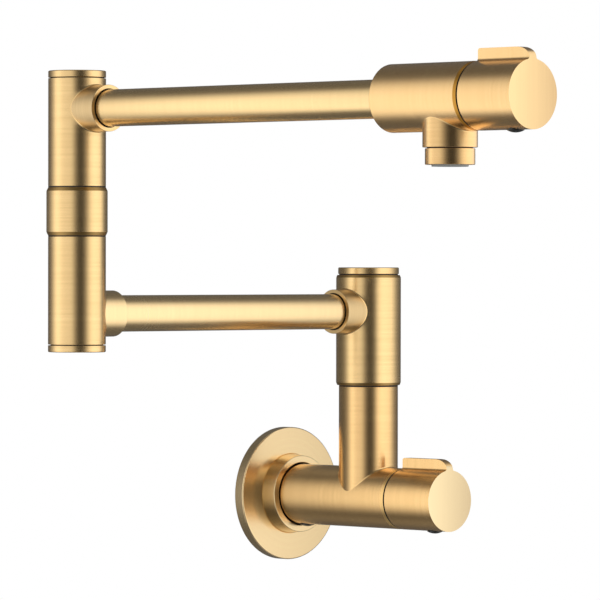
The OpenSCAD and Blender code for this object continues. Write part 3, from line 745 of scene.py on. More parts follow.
class Workshop:
    """Finishes pieces: places a mesh, dresses it and hands it to the frame."""

    def __init__(self, finishes: Finishes) -> None:
        """Keeps the finishes."""
        self.finishes = finishes

    def dress(self, nodes: Mapping[str, bpy.types.Object], subparts: Iterable[Mapping[str, str]]) -> None:
        """Gives the pieces that keep their own shape, all those inside, the finish of their slot.

        Args:
            nodes: the frame's nodes by name.
            subparts: the record's rows of node and slot.
        """
        for row in subparts:
            materials = nodes[row["node"]].data.materials
            materials.clear()
            materials.append(self.finishes.slots.get(row["material_slot"], self.finishes.barrel))

    def piece(self, name: str, bm: bmesh.types.BMesh, place: Place, body: str, node: str,
              materials: Sequence[bpy.types.Material], paint: Paint | None = None, turn: float = 0.0,
              slot: str = "brushed_gold") -> None:
        """Finishes a piece.

        Args:
            name: the piece's name.
            bm: its closed mesh in millimetres.
            place: where it goes.
            body: the body that it rides on.
            node: the node that it stands for.
            materials: its materials.
            paint: gives a face's material from its middle and its normal.
            turn: angle by which it is turned on its own axis first.
            slot: the record's slot of its finish; it is not used.
        """
        bmesh.ops.recalc_face_normals(bm, faces=bm.faces[:])
        bm.normal_update()
        for face in bm.faces:
            face.smooth = True
            if paint:
                face.material_index = paint(face.calc_center_median(), face.normal)
        for edge in bm.edges:
            edge.smooth = not edge.is_manifold or edge.calc_face_angle() < CREASE
        open_edges = sum(not edge.is_manifold for edge in bm.edges)
        bmesh.ops.transform(bm, matrix=place.matrix() @ Matrix.Rotation(turn, 4, "Z"), verts=bm.verts[:])
        made = new_object(name, bm)
        for material in materials:
            made.data.materials.append(material)
        weigh = made.modifiers.new("even_shading", "WEIGHTED_NORMAL")
        weigh.keep_sharp = True
        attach(made, body)
        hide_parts(node)
        LOG.info("%s: %d faces, %d open edges, on %s", name, len(made.data.polygons), open_edges, body)


@dataclass(frozen=True)
class Zone:
    """Ring of space round an axis, between two heights and two radii."""

    low: float
    high: float
    outer: float = 100.0
    inner: float = 0.0

    def holds(self, height: float, off: float) -> bool:
        """Says whether a point at this height, and so far off the axis, lies in the ring."""
        return self.low < height < self.high and self.inner <= off < self.outer


@dataclass(frozen=True)
class PaintPlan:
    """Chooses the finish of each face of a turned gold piece, and of its branch along x."""

    chamfers: Sequence[Zone] = ()
    painted_shade_gaps: Sequence[Zone] = ()
    branch: Branch | None = None
    mouth: Zone | None = None
    slack: float = 0.02

    def __call__(self, centre: Vector, normal: Vector) -> int:
        """Gives the part of the piece that a face belongs to.

        Args:
            centre: the face's middle.
            normal: its normal.

        Returns:
            The number of its material.
        """
        off = math.hypot(centre.x, centre.y)
        if self.branch and centre.x > 0 and off > self.branch.body_r - self.branch.slack / 2:
            beside = math.hypot(centre.y, centre.z - self.branch.at)
            if beside < self.branch.r + self.branch.fillet:
                return self._on_branch(centre, normal, beside).value
        # faces in these zones are painted black as painted shade
        if any(zone.holds(centre.z, off) for zone in self.painted_shade_gaps):
            return Part.GAP.value
        if any(zone.holds(centre.z, off) and SLANT[0] < abs(normal.z) < SLANT[1] for zone in self.chamfers):
            return Part.CHAMFER.value
        return Part.FACE.value if abs(normal.z) > FLAT else Part.WALL.value

    def _on_branch(self, centre: Vector, normal: Vector, beside: float) -> Part:
        """Gives the part that a face near the branch belongs to.

        Args:
            centre: the face's middle.
            normal: its normal.
            beside: how far it is from the branch's axis.

        Returns:
            The part.
        """
        # the socket's mouth round the tube is painted black as painted shade
        if self.mouth and self.mouth.holds(centre.x, beside):
            return Part.GAP
        if beside < self.branch.r and normal.x > FLAT:
            return Part.FACE
        if math.hypot(centre.x, centre.y) < self.branch.body_r + self.slack:
            return Part.WALL
        return Part.FILLET if beside > self.branch.r + self.slack else Part.BRANCH


# Places

VALVE_PLACE = Place((0, 0, 0), (0, -1, 0), (0, 0, 1))
SPOUT_PLACE = Place((ELBOW_X, -POST_OUT, UPPER_Z), (0, -1, 0), (0, 0, 1))
POST_PLACE = Place((0, -POST_OUT, 0))
ELBOW_PLACE = Place((ELBOW_X, -POST_OUT, 0))
OUTLET_PLACE = Place((ELBOW_X, OUTLET_Y, 0))
LOWER_ARM_PLACE = Place((0, -POST_OUT, LOWER_Z), (-1, 0, 0))
LOWER_COLUMN_PLACE = Place((ELBOW_X, -POST_OUT, LOWER_Z))
UPPER_COLUMN_PLACE = Place((ELBOW_X, -POST_OUT, UPPER_Z), (0, 0, -1))


# Shapes that two sub-assemblies share


@dataclass(frozen=True)
class BarrelMouth:
    """Front of a valve barrel: its chamfer, and the thread, chamber and seat of the headwork."""

    front: float
    chamfer: float = 1.95
    drop: float = 0.4
    thread_r: float = 12.4
    thread_len: float = 15.0
    chamber_r: float = 10.6
    seat_depth: float = 42.0
    face_round: float = 0.12
    wall_round: float = 0.2
    skin: float = 0.15

    @property
    def corners(self) -> list[Corner]:
        """Corners from the seat out to the barrel's wall."""
        seat, step = self.front - self.seat_depth, self.front - self.thread_len
        return [(0, seat), (self.chamber_r, seat), (self.chamber_r, step), (self.thread_r, step),
                (self.thread_r, self.front), (BARREL_R - self.drop, self.front, self.face_round),
                (BARREL_R, self.front - self.chamfer, self.wall_round)]

    @property
    def slant(self) -> Zone:
        """Room of the chamfer."""
        return Zone(self.front - self.chamfer, self.front)

    @property
    def gap(self) -> Zone:
        """Room of the front face, which lies in the gap to the lever and is painted black as painted shade.
        """
        return Zone(self.front - self.skin, self.front + MARGIN, inner=self.thread_r)


@dataclass(frozen=True)
class JointRing:
    """Ring that turns on a pin, with a chamfer at both ends."""

    bore_r: float
    r: float
    low: float
    high: float
    chamfer: float
    drop: float
    face_round: float = 0.15
    wall_round: float = 0.25

    @property
    def slants(self) -> list[Zone]:
        """Rooms of the two chamfers."""
        return [Zone(self.low, self.low + self.chamfer), Zone(self.high - self.chamfer, self.high)]

    def outline(self, socket: Branch | None = None) -> Outline:
        """Draws the half section.

        Args:
            socket: a branch on the wall, whose patch gets an edge of its own.

        Returns:
            The section.
        """
        wall = [(self.r, socket.low), (self.r, socket.high)] if socket else []
        face_r = self.r - self.drop
        return Outline([(self.bore_r, self.low), (face_r, self.low, self.face_round),
                        (self.r, self.low + self.chamfer, self.wall_round), *wall,
                        (self.r, self.high - self.chamfer, self.wall_round),
                        (face_r, self.high, self.face_round), (self.bore_r, self.high)], True)


def arm_socket(body_r: float, at: float, reach: float, end: float) -> Branch:
    """Branch whose mouth takes an arm's tube; it is closed inside the tube."""
    rim = rounded_rim(SOCKET_R, end, SOCKET_ROUND, MOUTH_R, MOUTH_DEEP)
    return Branch(body_r, SOCKET_R, at, reach, FILLET, rim)


def mouth_zone(end: float) -> Zone:
    """Room round the tube in the mouth of a socket that ends there, painted black as painted shade."""
    return Zone(end - MOUTH_DEEP - MARGIN, end - MARGIN, MOUTH_R + MARGIN)


def arm_tube(start: float, end: float) -> bmesh.types.BMesh:
    """Tube of an arm between two distances from the arm's axis."""
    inner = TUBE_R - TUBE_WALL
    return Outline([(inner, start), (TUBE_R, start), (TUBE_R, end), (inner, end)], True).turn()


# Sub-assemblies


@dataclass
class WallFlange:
    """Cover plate with its tapered collar, turned on the valve's axis."""

    shop: Workshop
    plate_r: float = 36.7
    plate_t: float = 6.25
    hollow_r: float = 33.5
    hollow_inner_r: float = 20.15
    hollow: float = 3.0
    bore_r: float = 17.45
    collar_root_r: float = 21.95
    collar_front_r: float = 21.05
    collar_front: float = 15.1
    seal_at: float = 10.675
    seal_half: float = 0.9
    seal_r: float = 18.35
    seam: float = 0.3
    back_round: float = 0.25
    plate_round: float = 0.7
    collar_round: float = 0.35
    lip_round: float = 0.3

    def build(self) -> None:
        """Makes the flange."""
        corners = [
            (self.bore_r, 0), (self.hollow_inner_r, 0), (self.hollow_inner_r, self.hollow),
            (self.hollow_r, self.hollow), (self.hollow_r, 0), (self.plate_r, 0, self.back_round),
            (self.plate_r, self.plate_t, self.plate_round), (self.collar_root_r + self.seam, self.plate_t),
            (self.collar_root_r, self.plate_t - self.seam), (self.collar_root_r, self.plate_t),
            (self.collar_front_r, self.collar_front, self.collar_round),
            (self.bore_r, self.collar_front, self.lip_round), (self.bore_r, self.seal_at + self.seal_half),
            (self.seal_r, self.seal_at + self.seal_half), (self.seal_r, self.seal_at - self.seal_half),
            (self.bore_r, self.seal_at - self.seal_half),
        ]
        finishes = self.shop.finishes
        # the bore inside the flange is painted black as painted shade
        bore = Zone(0.0, self.collar_front - self.lip_round, self.seal_r + MARGIN / 2)
        self.shop.piece("flange", Outline(corners, True).turn(), VALVE_PLACE, "base", "wall_flange",
                        finishes.gold(finishes.faced, face=finishes.faced),
                        PaintPlan(painted_shade_gaps=[bore]))


@dataclass
class ValveBody:
    """Valve barrel with the riser on top, its lock screw's plug, and the cap of the post."""

    shop: Workshop
    mouth: BarrelMouth = BarrelMouth(VALVE_FRONT)
    back: float = 2.0
    spigot_r: float = 11.55
    spigot_end: float = 37.0
    riser_r: float = 16.13
    riser_top: float = 60.6
    riser_round: float = 0.3
    pin_r: float = 11.05
    pin_deep: float = 20.0
    patch: float = 21.5
    cap_r: float = 16.6
    cap_bottom: float = 121.95
    cap_top: float = 125.5
    cap_edge: float = 0.2
    cap_round: float = 0.6
    stub_r: float = 5.0
    stub_len: float = 6.0
    plug_at: float = 19.7
    plug_deep: float = 1.6

    def build(self) -> None:
        """Makes the body, the cap and the plug."""
        finishes = self.shop.finishes
        rim = rounded_rim(self.riser_r, self.riser_top, self.riser_round, self.pin_r, self.pin_deep)
        riser = Branch(BARREL_R, self.riser_r, POST_OUT, self.patch, FILLET, rim)
        body = Outline([
            *self.mouth.corners, (BARREL_R, riser.high), (BARREL_R, riser.low),
            (BARREL_R, self.back + BACK_CHAMFER, BACK_ROUND),
            (BARREL_R - BACK_CHAMFER, self.back, BACK_ROUND), (self.spigot_r, self.back),
            (self.spigot_r, self.spigot_end), (0, self.spigot_end),
        ])
        gold = finishes.gold(finishes.barrel_lower, finishes.post_warm, chamfer=finishes.chamfer_lower)
        self.shop.piece("valve_and_riser", body.turn(riser), VALVE_PLACE, "base", "valve_body", gold,
                        PaintPlan([self.mouth.slant], [self.mouth.gap], riser), math.pi / 2)
        stub = self.cap_bottom - self.stub_len
        cap = Outline([(0, stub), (self.stub_r, stub), (self.stub_r, self.cap_bottom),
                       (self.cap_r, self.cap_bottom, self.cap_edge),
                       (self.cap_r, self.cap_top, self.cap_round), (0, self.cap_top)])
        self.shop.piece("post_cap", cap.turn(), POST_PLACE, "base", "riser_cap", finishes.gold(finishes.post),
                        PaintPlan())
        ScrewPlug(self.shop, "lock_screw_plug", VALVE_PLACE, self.plug_at, self.plug_deep, "base",
                  "body_screw_plug").build()


@dataclass
class ScrewPlug:
    """Domed plug in a barrel's underside, at a distance along it and so deep under its wall."""

    shop: Workshop
    name: str
    barrel: Place
    along: float
    deep: float
    body: str
    node: str
    r: float = 4.15
    proud: float = 1.3
    dome: float = 1.1
    foot_round: float = 0.2
    rings: int = 10
    inset_share: float = 0.97

    def build(self) -> None:
        """Turns the plug's side, and raises rings of its lid to the dome."""
        top = BARREL_R + self.proud
        edge = top - self.dome
        ball = (self.r ** 2 + self.dome ** 2) / (2 * self.dome)
        foot = BARREL_R - self.deep
        bm = Outline([(0, foot), (self.r, foot, self.foot_round), (self.r, edge)]).turn()
        rim = [one for one in bm.edges if all(abs(v.co.z - edge) < WELD for v in one.verts)]
        bmesh.ops.edgeloop_fill(bm, edges=rim)
        lid = [face for face in bm.faces if len(face.verts) > 4]
        wide = [self.r * math.cos(math.pi / 2 * ring / self.rings) for ring in range(self.rings + 1)]
        for outer, inner in zip(wide, wide[1:]):
            bmesh.ops.inset_region(bm, faces=lid, thickness=(outer - inner) * self.inset_share,
                                   use_even_offset=True)
            lid = [face for face in lid if face.is_valid]
        for vert in bm.verts:
            off = math.hypot(vert.co.x, vert.co.y)
            if abs(vert.co.z - edge) < WELD and off < self.r:
                vert.co.z = top - ball + math.sqrt(ball ** 2 - off ** 2)
        origin = Vector(self.barrel.origin) + Vector(self.barrel.axis) * self.along
        spot = Place(tuple(origin), tuple(-Vector(self.barrel.up)), self.barrel.axis)
        self.shop.piece(self.name, bm, spot, self.body, self.node, [self.shop.finishes.slots["plug_plastic"]],
                        slot="plug_plastic")


@dataclass
class Lever:
    """Barrel handle with its upright fin, and the plug over its screw."""

    shop: Workshop
    name: str
    place: Place
    front: float
    body: str
    node: str
    plug_node: str
    barrel: bpy.types.Material
    end_face: bpy.types.Material
    gap: float = 1.25
    length: float = 33.35
    fin_t: float = 4.75
    fin_top: float = 22.35
    back_round: float = 1.3
    back_steps: int = 8
    front_run: float = 8.5
    front_drop: float = 5.1
    front_steps: int = 14
    root: float = 1.5
    cup_r: float = 13.0
    cup_deep: float = 8.0
    cup_wall: float = 1.0
    edge: float = 0.33
    edge_from: float = math.radians(60)
    edge_slant: float = 0.3
    back_rim: float = 0.3
    plug_back: float = 11.0
    plug_deep: float = 4.0
    arc_steps: int = 112
    root_steps: int = 8
    bm: bmesh.types.BMesh = field(default_factory=bmesh.new)

    @property
    def back(self) -> float:
        """Place of the back face, past the gap to the barrel."""
        return self.front + self.gap

    @property
    def end(self) -> float:
        """Place of the end face."""
        return self.back + self.length

    def build(self) -> None:
        """Makes the lever and its plug."""
        finishes = self.shop.finishes
        self._section()
        self._stretch()
        self._round_fin()
        self._cut_cup()
        self._ease_edges()
        self.shop.piece(self.name, self.bm, self.place, self.body, self.node,
                        finishes.gold(self.barrel, face=self.end_face, chamfer=finishes.edge), self._paint)
        ScrewPlug(self.shop, f"{self.name}_plug", self.place, self.end - self.plug_back, self.plug_deep,
                  self.body, self.plug_node).build()

    def _section(self) -> None:
        """Draws the section as one face: arcs are spun from a vertex."""
        half = self.fin_t / 2
        centre_x = half + self.root
        centre_y = math.sqrt((BARREL_R + self.root) ** 2 - centre_x ** 2)
        touch = BARREL_R / (BARREL_R + self.root)
        start = Vector((centre_x * touch, centre_y * touch, 0))
        lean = math.atan2(start.x, start.y)
        self._arc(start, Vector(), -(TURN - 2 * lean), self.arc_steps)
        for side in (1, -1):
            self._arc(Vector((start.x * side, start.y, 0)), Vector((centre_x * side, centre_y, 0)),
                      -side * (math.pi / 2 - lean), self.root_steps)
        corners = [self.bm.verts.new(at) for at in ((half, centre_y, 0), (half, self.fin_top, 0),
                                                    (-half, self.fin_top, 0), (-half, centre_y, 0))]
        for pair in zip(corners, corners[1:]):
            self.bm.edges.new(pair)
        bmesh.ops.remove_doubles(self.bm, verts=self.bm.verts[:], dist=WELD)
        bmesh.ops.edgeloop_fill(self.bm, edges=self.bm.edges[:])

    def _arc(self, start: Vector, centre: Vector, angle: float, steps: int) -> None:
        """Spins an arc of so many edges from a point."""
        bmesh.ops.spin(self.bm, geom=[self.bm.verts.new(start)], cent=centre, axis=(0, 0, 1), dvec=(0, 0, 0),
                       angle=angle, steps=steps, use_merge=False, use_duplicate=False)

    def _stretch(self) -> None:
        """Extrudes the section along the lever's axis."""
        bmesh.ops.translate(self.bm, vec=(0, 0, self.back), verts=self.bm.verts[:])
        grown = bmesh.ops.extrude_face_region(self.bm, geom=self.bm.faces[:], use_keep_orig=True)["geom"]
        moved = [item for item in grown if isinstance(item, bmesh.types.BMVert)]
        bmesh.ops.translate(self.bm, vec=(0, 0, self.length), verts=moved)

    def _round_fin(self) -> None:
        """Rounds the fin's top corners: an arc at the back, a longer oval one at the front."""
        bm = self.bm
        corner = [edge for edge in bm.edges if all(
            abs(v.co.z - self.back) < WELD and abs(v.co.y - self.fin_top) < WELD for v in edge.verts)]
        bevel(bm, corner, self.back_round, self.back_steps)
        for step in range(self.front_steps):
            cut = self.end - self.front_run * (1 - math.sin(math.pi / 2 * step / self.front_steps))
            bmesh.ops.bisect_plane(bm, geom=bm.verts[:] + bm.edges[:] + bm.faces[:], dist=WELD,
                                   plane_co=(0, 0, cut), plane_no=(0, 0, 1))
        for vert in bm.verts:
            ahead = (vert.co.z - self.end + self.front_run) / self.front_run
            if abs(vert.co.y - self.fin_top) < WELD and ahead > 0:
                vert.co.y -= self.front_drop * (1 - math.sqrt(max(0.0, 1 - ahead * ahead)))

    def _cut_cup(self) -> None:
        """Opens the cup in the lever's back face."""
        bm = self.bm
        lid = next(face for face in bm.faces if all(abs(v.co.z - self.back) < WELD for v in face.verts))
        border = lid.edges[:]
        bmesh.ops.delete(bm, geom=[lid], context="FACES_ONLY")
        circle = bmesh.ops.create_circle(bm, cap_ends=False, segments=ROUND_STEPS, radius=self.cup_r,
                                         matrix=Matrix.Translation((0, 0, self.back)))["verts"]
        hole = list({edge for vert in circle for edge in vert.link_edges})
        bmesh.ops.triangle_fill(bm, use_beauty=True, use_dissolve=False, edges=border + hole)
        bmesh.ops.edgeloop_fill(bm, edges=pull(bm, hole, self.cup_deep))

    def _ease_edges(self) -> None:
        """Breaks the outer edges."""
        sharp = [edge for edge in self.bm.edges
                 if edge.is_manifold and edge.calc_face_angle() > self.edge_from
                 and all(math.hypot(v.co.x, v.co.y) > self.cup_r + self.cup_wall for v in edge.verts)]
        bevel(self.bm, sharp, self.edge, 1, clamp=True)

    def _paint(self, centre: Vector, normal: Vector) -> int:
        """Gives the part of the lever that a face belongs to.

        Args:
            centre: the face's middle.
            normal: its normal.

        Returns:
            The number of its material.
        """
        inside = math.hypot(centre.x, centre.y) < BARREL_R - self.back_rim
        ahead = centre.z - self.back
        # the cup inside the lever is painted black as painted shade
        if inside and ahead < self.cup_deep + MARGIN and (normal.z < -FLAT or ahead > MARGIN):
            return Part.GAP.value
        # the end face's bevelled edge gets the near-black painted shade
        if abs(centre.z - self.end) < self.edge and self.edge_slant < normal.z < FLAT:
            return Part.CHAMFER.value
        return Part.FACE.value if abs(normal.z) > FLAT else Part.WALL.value


@dataclass
class LowerArm:
    """Sleeve on the post, tube, lower column of the elbow and the collar on it."""

    shop: Workshop
    sleeve: JointRing = JointRing(11.06, 17.68, 61.3, 121.4, 1.5, 0.6)
    collar: JointRing = JointRing(11.05, 15.8, 141.8, 166.7, 1.95, 0.93)
    socket_end: float = 26.9
    patch: float = 15.6
    tube_from: float = 13.5
    tube_to: float = 199.95
    pin_r: float = 9.05
    chamber_top: float = 10.5

    def build(self) -> None:
        """Makes the arm's gold pieces."""
        finishes = self.shop.finishes
        socket = arm_socket(self.sleeve.r, LOWER_Z, self.patch, self.socket_end)
        # the chamfers of the sleeve and the collar carry the painted shade
        self.shop.piece("post_sleeve", self.sleeve.outline(socket).turn(socket), POST_PLACE, "lower_arm",
                        "lower_sleeve",
                        finishes.gold(finishes.post, finishes.socket_lower, chamfer=finishes.chamfer_painted_shade),
                        PaintPlan(self.sleeve.slants, (), socket, mouth_zone(self.socket_end)), math.pi)
        self.shop.piece("lower_arm_tube", arm_tube(self.tube_from, self.tube_to), LOWER_ARM_PLACE,
                        "lower_arm", "lower_tube", finishes.gold(finishes.tube_lower), PaintPlan())
        self.shop.piece("elbow_ring", self.collar.outline().turn(), ELBOW_PLACE, "lower_arm", "elbow_collar",
                        finishes.gold(finishes.post, chamfer=finishes.chamfer_painted_shade),
                        PaintPlan(self.collar.slants))
        ElbowColumn(self.shop, "lower_column", LOWER_COLUMN_PLACE, "lower_arm", "elbow_lower_column",
                    "elbow_bottom_cap", 0.0, finishes.tube_lower, self.pin_r, self.chamber_top).build()


@dataclass
class ElbowColumn:
    """One column of the elbow with its socket and its end cap, measured from the arm's axis."""

    shop: Workshop
    name: str
    place: Place
    body: str
    node: str
    cap_node: str
    socket_turn: float
    socket_gold: bpy.types.Material
    pin_r: float
    chamber_top: float
    r: float = 14.9
    joint_end: float = 39.8
    far_end: float = -15.8
    chamber_r: float = 11.0
    patch: float = 14.6
    socket_end: float = 24.75
    cap_t: float = 3.5
    groove: float = 0.45
    groove_deep: float = 1.3
    groove_round: float = 0.18
    joint_round: float = 0.2
    cap_round: float = 0.6
    rim_w: float = 0.2
    plug_len: float = 6.5
    plug_slack: float = 0.05

    def build(self) -> None:
        """Makes the column and its cap, whose faces in the groove between them are painted black as painted
        shade.
        """
        finishes, end = self.shop.finishes, self.far_end
        socket = arm_socket(self.r, 0.0, self.patch, self.socket_end)
        column = Outline([
            (self.chamber_r, end), (self.r, end, self.groove_round), (self.r, socket.low),
            (self.r, socket.high), (self.r, self.joint_end, self.joint_round), (self.pin_r, self.joint_end),
            (self.pin_r, self.chamber_top), (self.chamber_r, self.chamber_top),
        ], True)
        # groove faces of the column and the cap's neck are painted black as painted shade
        groove = Zone(end - MARGIN, end + MARGIN / 2, self.r - self.rim_w)
        self.shop.piece(self.name, column.turn(socket), self.place, self.body, self.node,
                        finishes.gold(finishes.post, self.socket_gold),
                        PaintPlan((), [groove], socket, mouth_zone(self.socket_end)), self.socket_turn)
        face, plug_end = end - self.groove, end + self.plug_len
        neck_r, plug_r = self.r - self.groove_deep, self.chamber_r - self.plug_slack
        cap = Outline([(0, face - self.cap_t), (self.r, face - self.cap_t, self.cap_round),
                       (self.r, face, self.groove_round), (neck_r, face), (neck_r, end), (plug_r, end),
                       (plug_r, plug_end), (0, plug_end)])
        neck = Zone(face - MARGIN / 2, end + MARGIN / 2, self.r - self.rim_w)
        self.shop.piece(f"{self.name}_cap", cap.turn(), self.place, self.body, self.cap_node,
                        finishes.gold(finishes.post), PaintPlan(painted_shade_gaps=[neck]))


@dataclass
class UpperArm:
    """Upper column of the elbow, tube and spout head with its outlet."""

    shop: Workshop
    mouth: BarrelMouth = BarrelMouth(HEAD_FRONT)
    back: float = 229.0
    tube_from: float = 12.25
    tube_in: float = 12.0
    tube_slack: float = 0.02
    mouth_round: float = 0.2
    pin_r: float = 9.06
    chamber_top: float = 16.8
    outlet_at: float = 267.7
    boss_r: float = 13.2
    boss_drop: float = 24.1
    boss_round: float = 0.2
    boss_thread_r: float = 11.0
    boss_deep: float = 8.7
    boss_fillet: float = 0.8
    patch: float = 16.6

    def build(self) -> None:
        """Makes the arm's pieces."""
        finishes, back, inner = self.shop.finishes, self.back, self.back + MOUTH_DEEP
        ElbowColumn(self.shop, "upper_column", UPPER_COLUMN_PLACE, "upper_arm", "elbow_upper_column",
                    "elbow_top_cap", -math.pi / 2, finishes.socket_upper, self.pin_r,
                    self.chamber_top).build()
        tube_r, tube_end = TUBE_R + self.tube_slack, back + self.tube_in
        self.shop.piece("upper_arm_tube", arm_tube(self.tube_from, tube_end), SPOUT_PLACE, "upper_arm",
                        "upper_tube", finishes.gold(finishes.tube_upper), PaintPlan())
        rim = rounded_rim(self.boss_r, self.boss_drop, self.boss_round, self.boss_thread_r, self.boss_deep)
        boss = Branch(BARREL_R, self.boss_r, self.outlet_at, self.patch, self.boss_fillet, rim)
        barrel = Outline([
            (0, tube_end), (tube_r, tube_end), (tube_r, inner), (MOUTH_R, inner),
            (MOUTH_R, back, self.mouth_round), (BARREL_R - BACK_CHAMFER, back, BACK_ROUND),
            (BARREL_R, back + BACK_CHAMFER, BACK_ROUND), (BARREL_R, boss.low), (BARREL_R, boss.high),
            *reversed(self.mouth.corners),
        ])
        painted_shade_gaps = [self.mouth.gap, Zone(back + MARGIN, inner + MARGIN, MOUTH_R + MARGIN)]
        self.shop.piece("spout_barrel", barrel.turn(boss), SPOUT_PLACE, "upper_arm", "spout_head",
                        finishes.gold(finishes.barrel, finishes.post_warm),
                        PaintPlan([self.mouth.slant], painted_shade_gaps, boss), -math.pi / 2)
        Aerator(self.shop).build()


@dataclass
class Aerator:
    """Ring under the outlet and the insert with its jets; heights are above the supply port."""

    shop: Workshop
    ring_r: float = 12.0
    ring_bottom: float = 174.65
    ring_top: float = 182.4
    stub_r: float = 10.95
    stub_top: float = 190.0
    insert_r: float = 8.85
    insert_bottom: float = 173.75
    face_up: float = 0.55
    rim_w: float = 0.75
    insert_top: float = 178.0
    jet_r: float = 0.55
    nub_r: float = 0.86
    nub_share: float = 0.86
    nub_high_share: float = 0.85
    jet_step: float = 2.2
    jet_rings: int = 3
    jet_deep: float = 2.2
    jet_sides: int = 16
    slack: float = 0.05
    fine_round: float = 0.12
    bore_round: float = 0.15
    edge_round: float = 0.2
    foot_round: float = 0.35
    neck_deep: float = 0.25

    def build(self) -> None:
        """Makes the ring, painted black as painted shade under the boss, and the insert."""
        finishes = self.shop.finishes
        bore = self.insert_r + self.slack
        ring = Outline([(bore, self.ring_bottom, self.bore_round),
                        (self.ring_r, self.ring_bottom, self.foot_round),
                        (self.ring_r, self.ring_top, self.edge_round), (self.stub_r, self.ring_top),
                        (self.stub_r, self.stub_top), (bore, self.stub_top)], True)
        # the neck under the boss is painted black as painted shade
        neck = Zone(self.ring_top - MARGIN / 2, self.stub_top + MARGIN, self.ring_r - self.neck_deep)
        self.shop.piece("outlet_ring", ring.turn(), OUTLET_PLACE, "upper_arm", "aerator_ring",
                        finishes.gold(finishes.post_warm), PaintPlan(painted_shade_gaps=[neck]))
        self.shop.piece("outlet_insert", self._insert(), OUTLET_PLACE, "upper_arm", "aerator_insert",
                        [finishes.slots["insert_plastic"]], slot="insert_plastic")

    def _places(self) -> list[Point]:
        """Middles of the jets, on a grid of equal triangles."""
        span = range(-self.jet_rings, self.jet_rings + 1)
        return [((column + row / 2) * self.jet_step, row * self.jet_step * math.sin(math.pi / 3))
                for row in span for column in span if abs(row + column) <= self.jet_rings]

    def _insert(self) -> bmesh.types.BMesh:
        """Turns the insert's body, then raises a nub and sinks a hole at each jet.

        Returns:
            The closed mesh.
        """
        inner = self.insert_r - self.rim_w
        plate = self.insert_bottom + self.face_up
        bm = Outline([(inner, plate), (inner, self.insert_bottom, self.fine_round),
                      (self.insert_r, self.insert_bottom, self.edge_round), (self.insert_r, self.insert_top),
                      (0, self.insert_top)]).turn()
        border = [edge for edge in bm.edges if edge.is_boundary]
        holes = []
        for x, y in self._places():
            circle = bmesh.ops.create_circle(bm, cap_ends=False, segments=self.jet_sides, radius=self.nub_r,
                                             matrix=Matrix.Translation((x, y, plate)))["verts"]
            holes.append(((x, y), list({edge for vert in circle for edge in vert.link_edges})))
        bmesh.ops.triangle_fill(bm, use_beauty=True, use_dissolve=False,
                                edges=border + [edge for _, edges in holes for edge in edges])
        steps = ((-self.face_up * self.nub_high_share, self.nub_share),
                 (0.0, self.jet_r / (self.nub_r * self.nub_share)), (self.jet_deep, 1.0))
        for middle, edges in holes:
            for lift, share in steps:
                edges = pull(bm, edges, lift, share, (*middle, plate))
            bmesh.ops.edgeloop_fill(bm, edges=edges)
        return bm


@dataclass(frozen=True)
class SoftSheet:
    """Upright lit sheet by the part, which only reflections see.

    Its ends are metres to the right of the view's axis and towards the camera. Level gives its light at
    shares of its length.
    """

    name: str
    start: Point
    end: Point
    level: Sequence[Point]
    low: float = -0.35
    low_fade: float = 0.26
    high: float = 0.51
    high_fade: float = 0.33
    strength: float = 1.35
    rim: float = 0.1

    def build(self, toward: Vector) -> None:
        """Makes the sheet.

        Args:
            toward: the level direction from the part to the camera.
        """
        right = Vector((-toward.y, toward.x, 0))
        first, last = [right * beside + toward * ahead for beside, ahead in (self.start, self.end)]
        bm = bmesh.new()
        bmesh.ops.create_grid(bm, x_segments=1, y_segments=1, size=1.0)
        for vert in bm.verts:
            height = self.high + self.high_fade if vert.co.y > 0 else self.low - self.low_fade
            vert.co = (last if vert.co.x > 0 else first) + Vector((0, 0, height))
        sheet = new_object(self.name, bm)
        sheet.data.materials.append(self._glow(first, last - first))
        for ray in ("camera", "diffuse", "shadow", "transmission"):
            setattr(sheet, f"visible_{ray}", False)

    def _glow(self, first: Vector, run: Vector) -> bpy.types.Material:
        """Makes the sheet's light, which fades towards its top and bottom.

        Args:
            first: the sheet's start.
            run: the way from its start to its end.

        Returns:
            The material.
        """
        material, graph = new_material(self.name)
        place = graph.node("ShaderNodeTexCoord", output="Object")
        step = run / run.length_squared
        stops = [(at, (value,) * 3) for at, value in self.level]
        share = graph.along(place, step) - first.dot(step)
        lit = graph.node("ShaderNodeValToRGB", {"stops": stops}, {"Fac": share})
        height = graph.measure(place, Axis.Z)
        bottom, top = [graph.ease(height, spot - fade, spot + fade)
                       for spot, fade in ((self.low, self.low_fade), (self.high, -self.high_fade))]
        graph.surface({"Base Color": (0, 0, 0, 1), "Roughness": 1.0, "Emission Strength": self.strength},
                      {"Emission Color": graph.blend(bottom * top, (self.rim,) * 3, lit)})
        material.cycles.emission_sampling = "NONE"
        return material


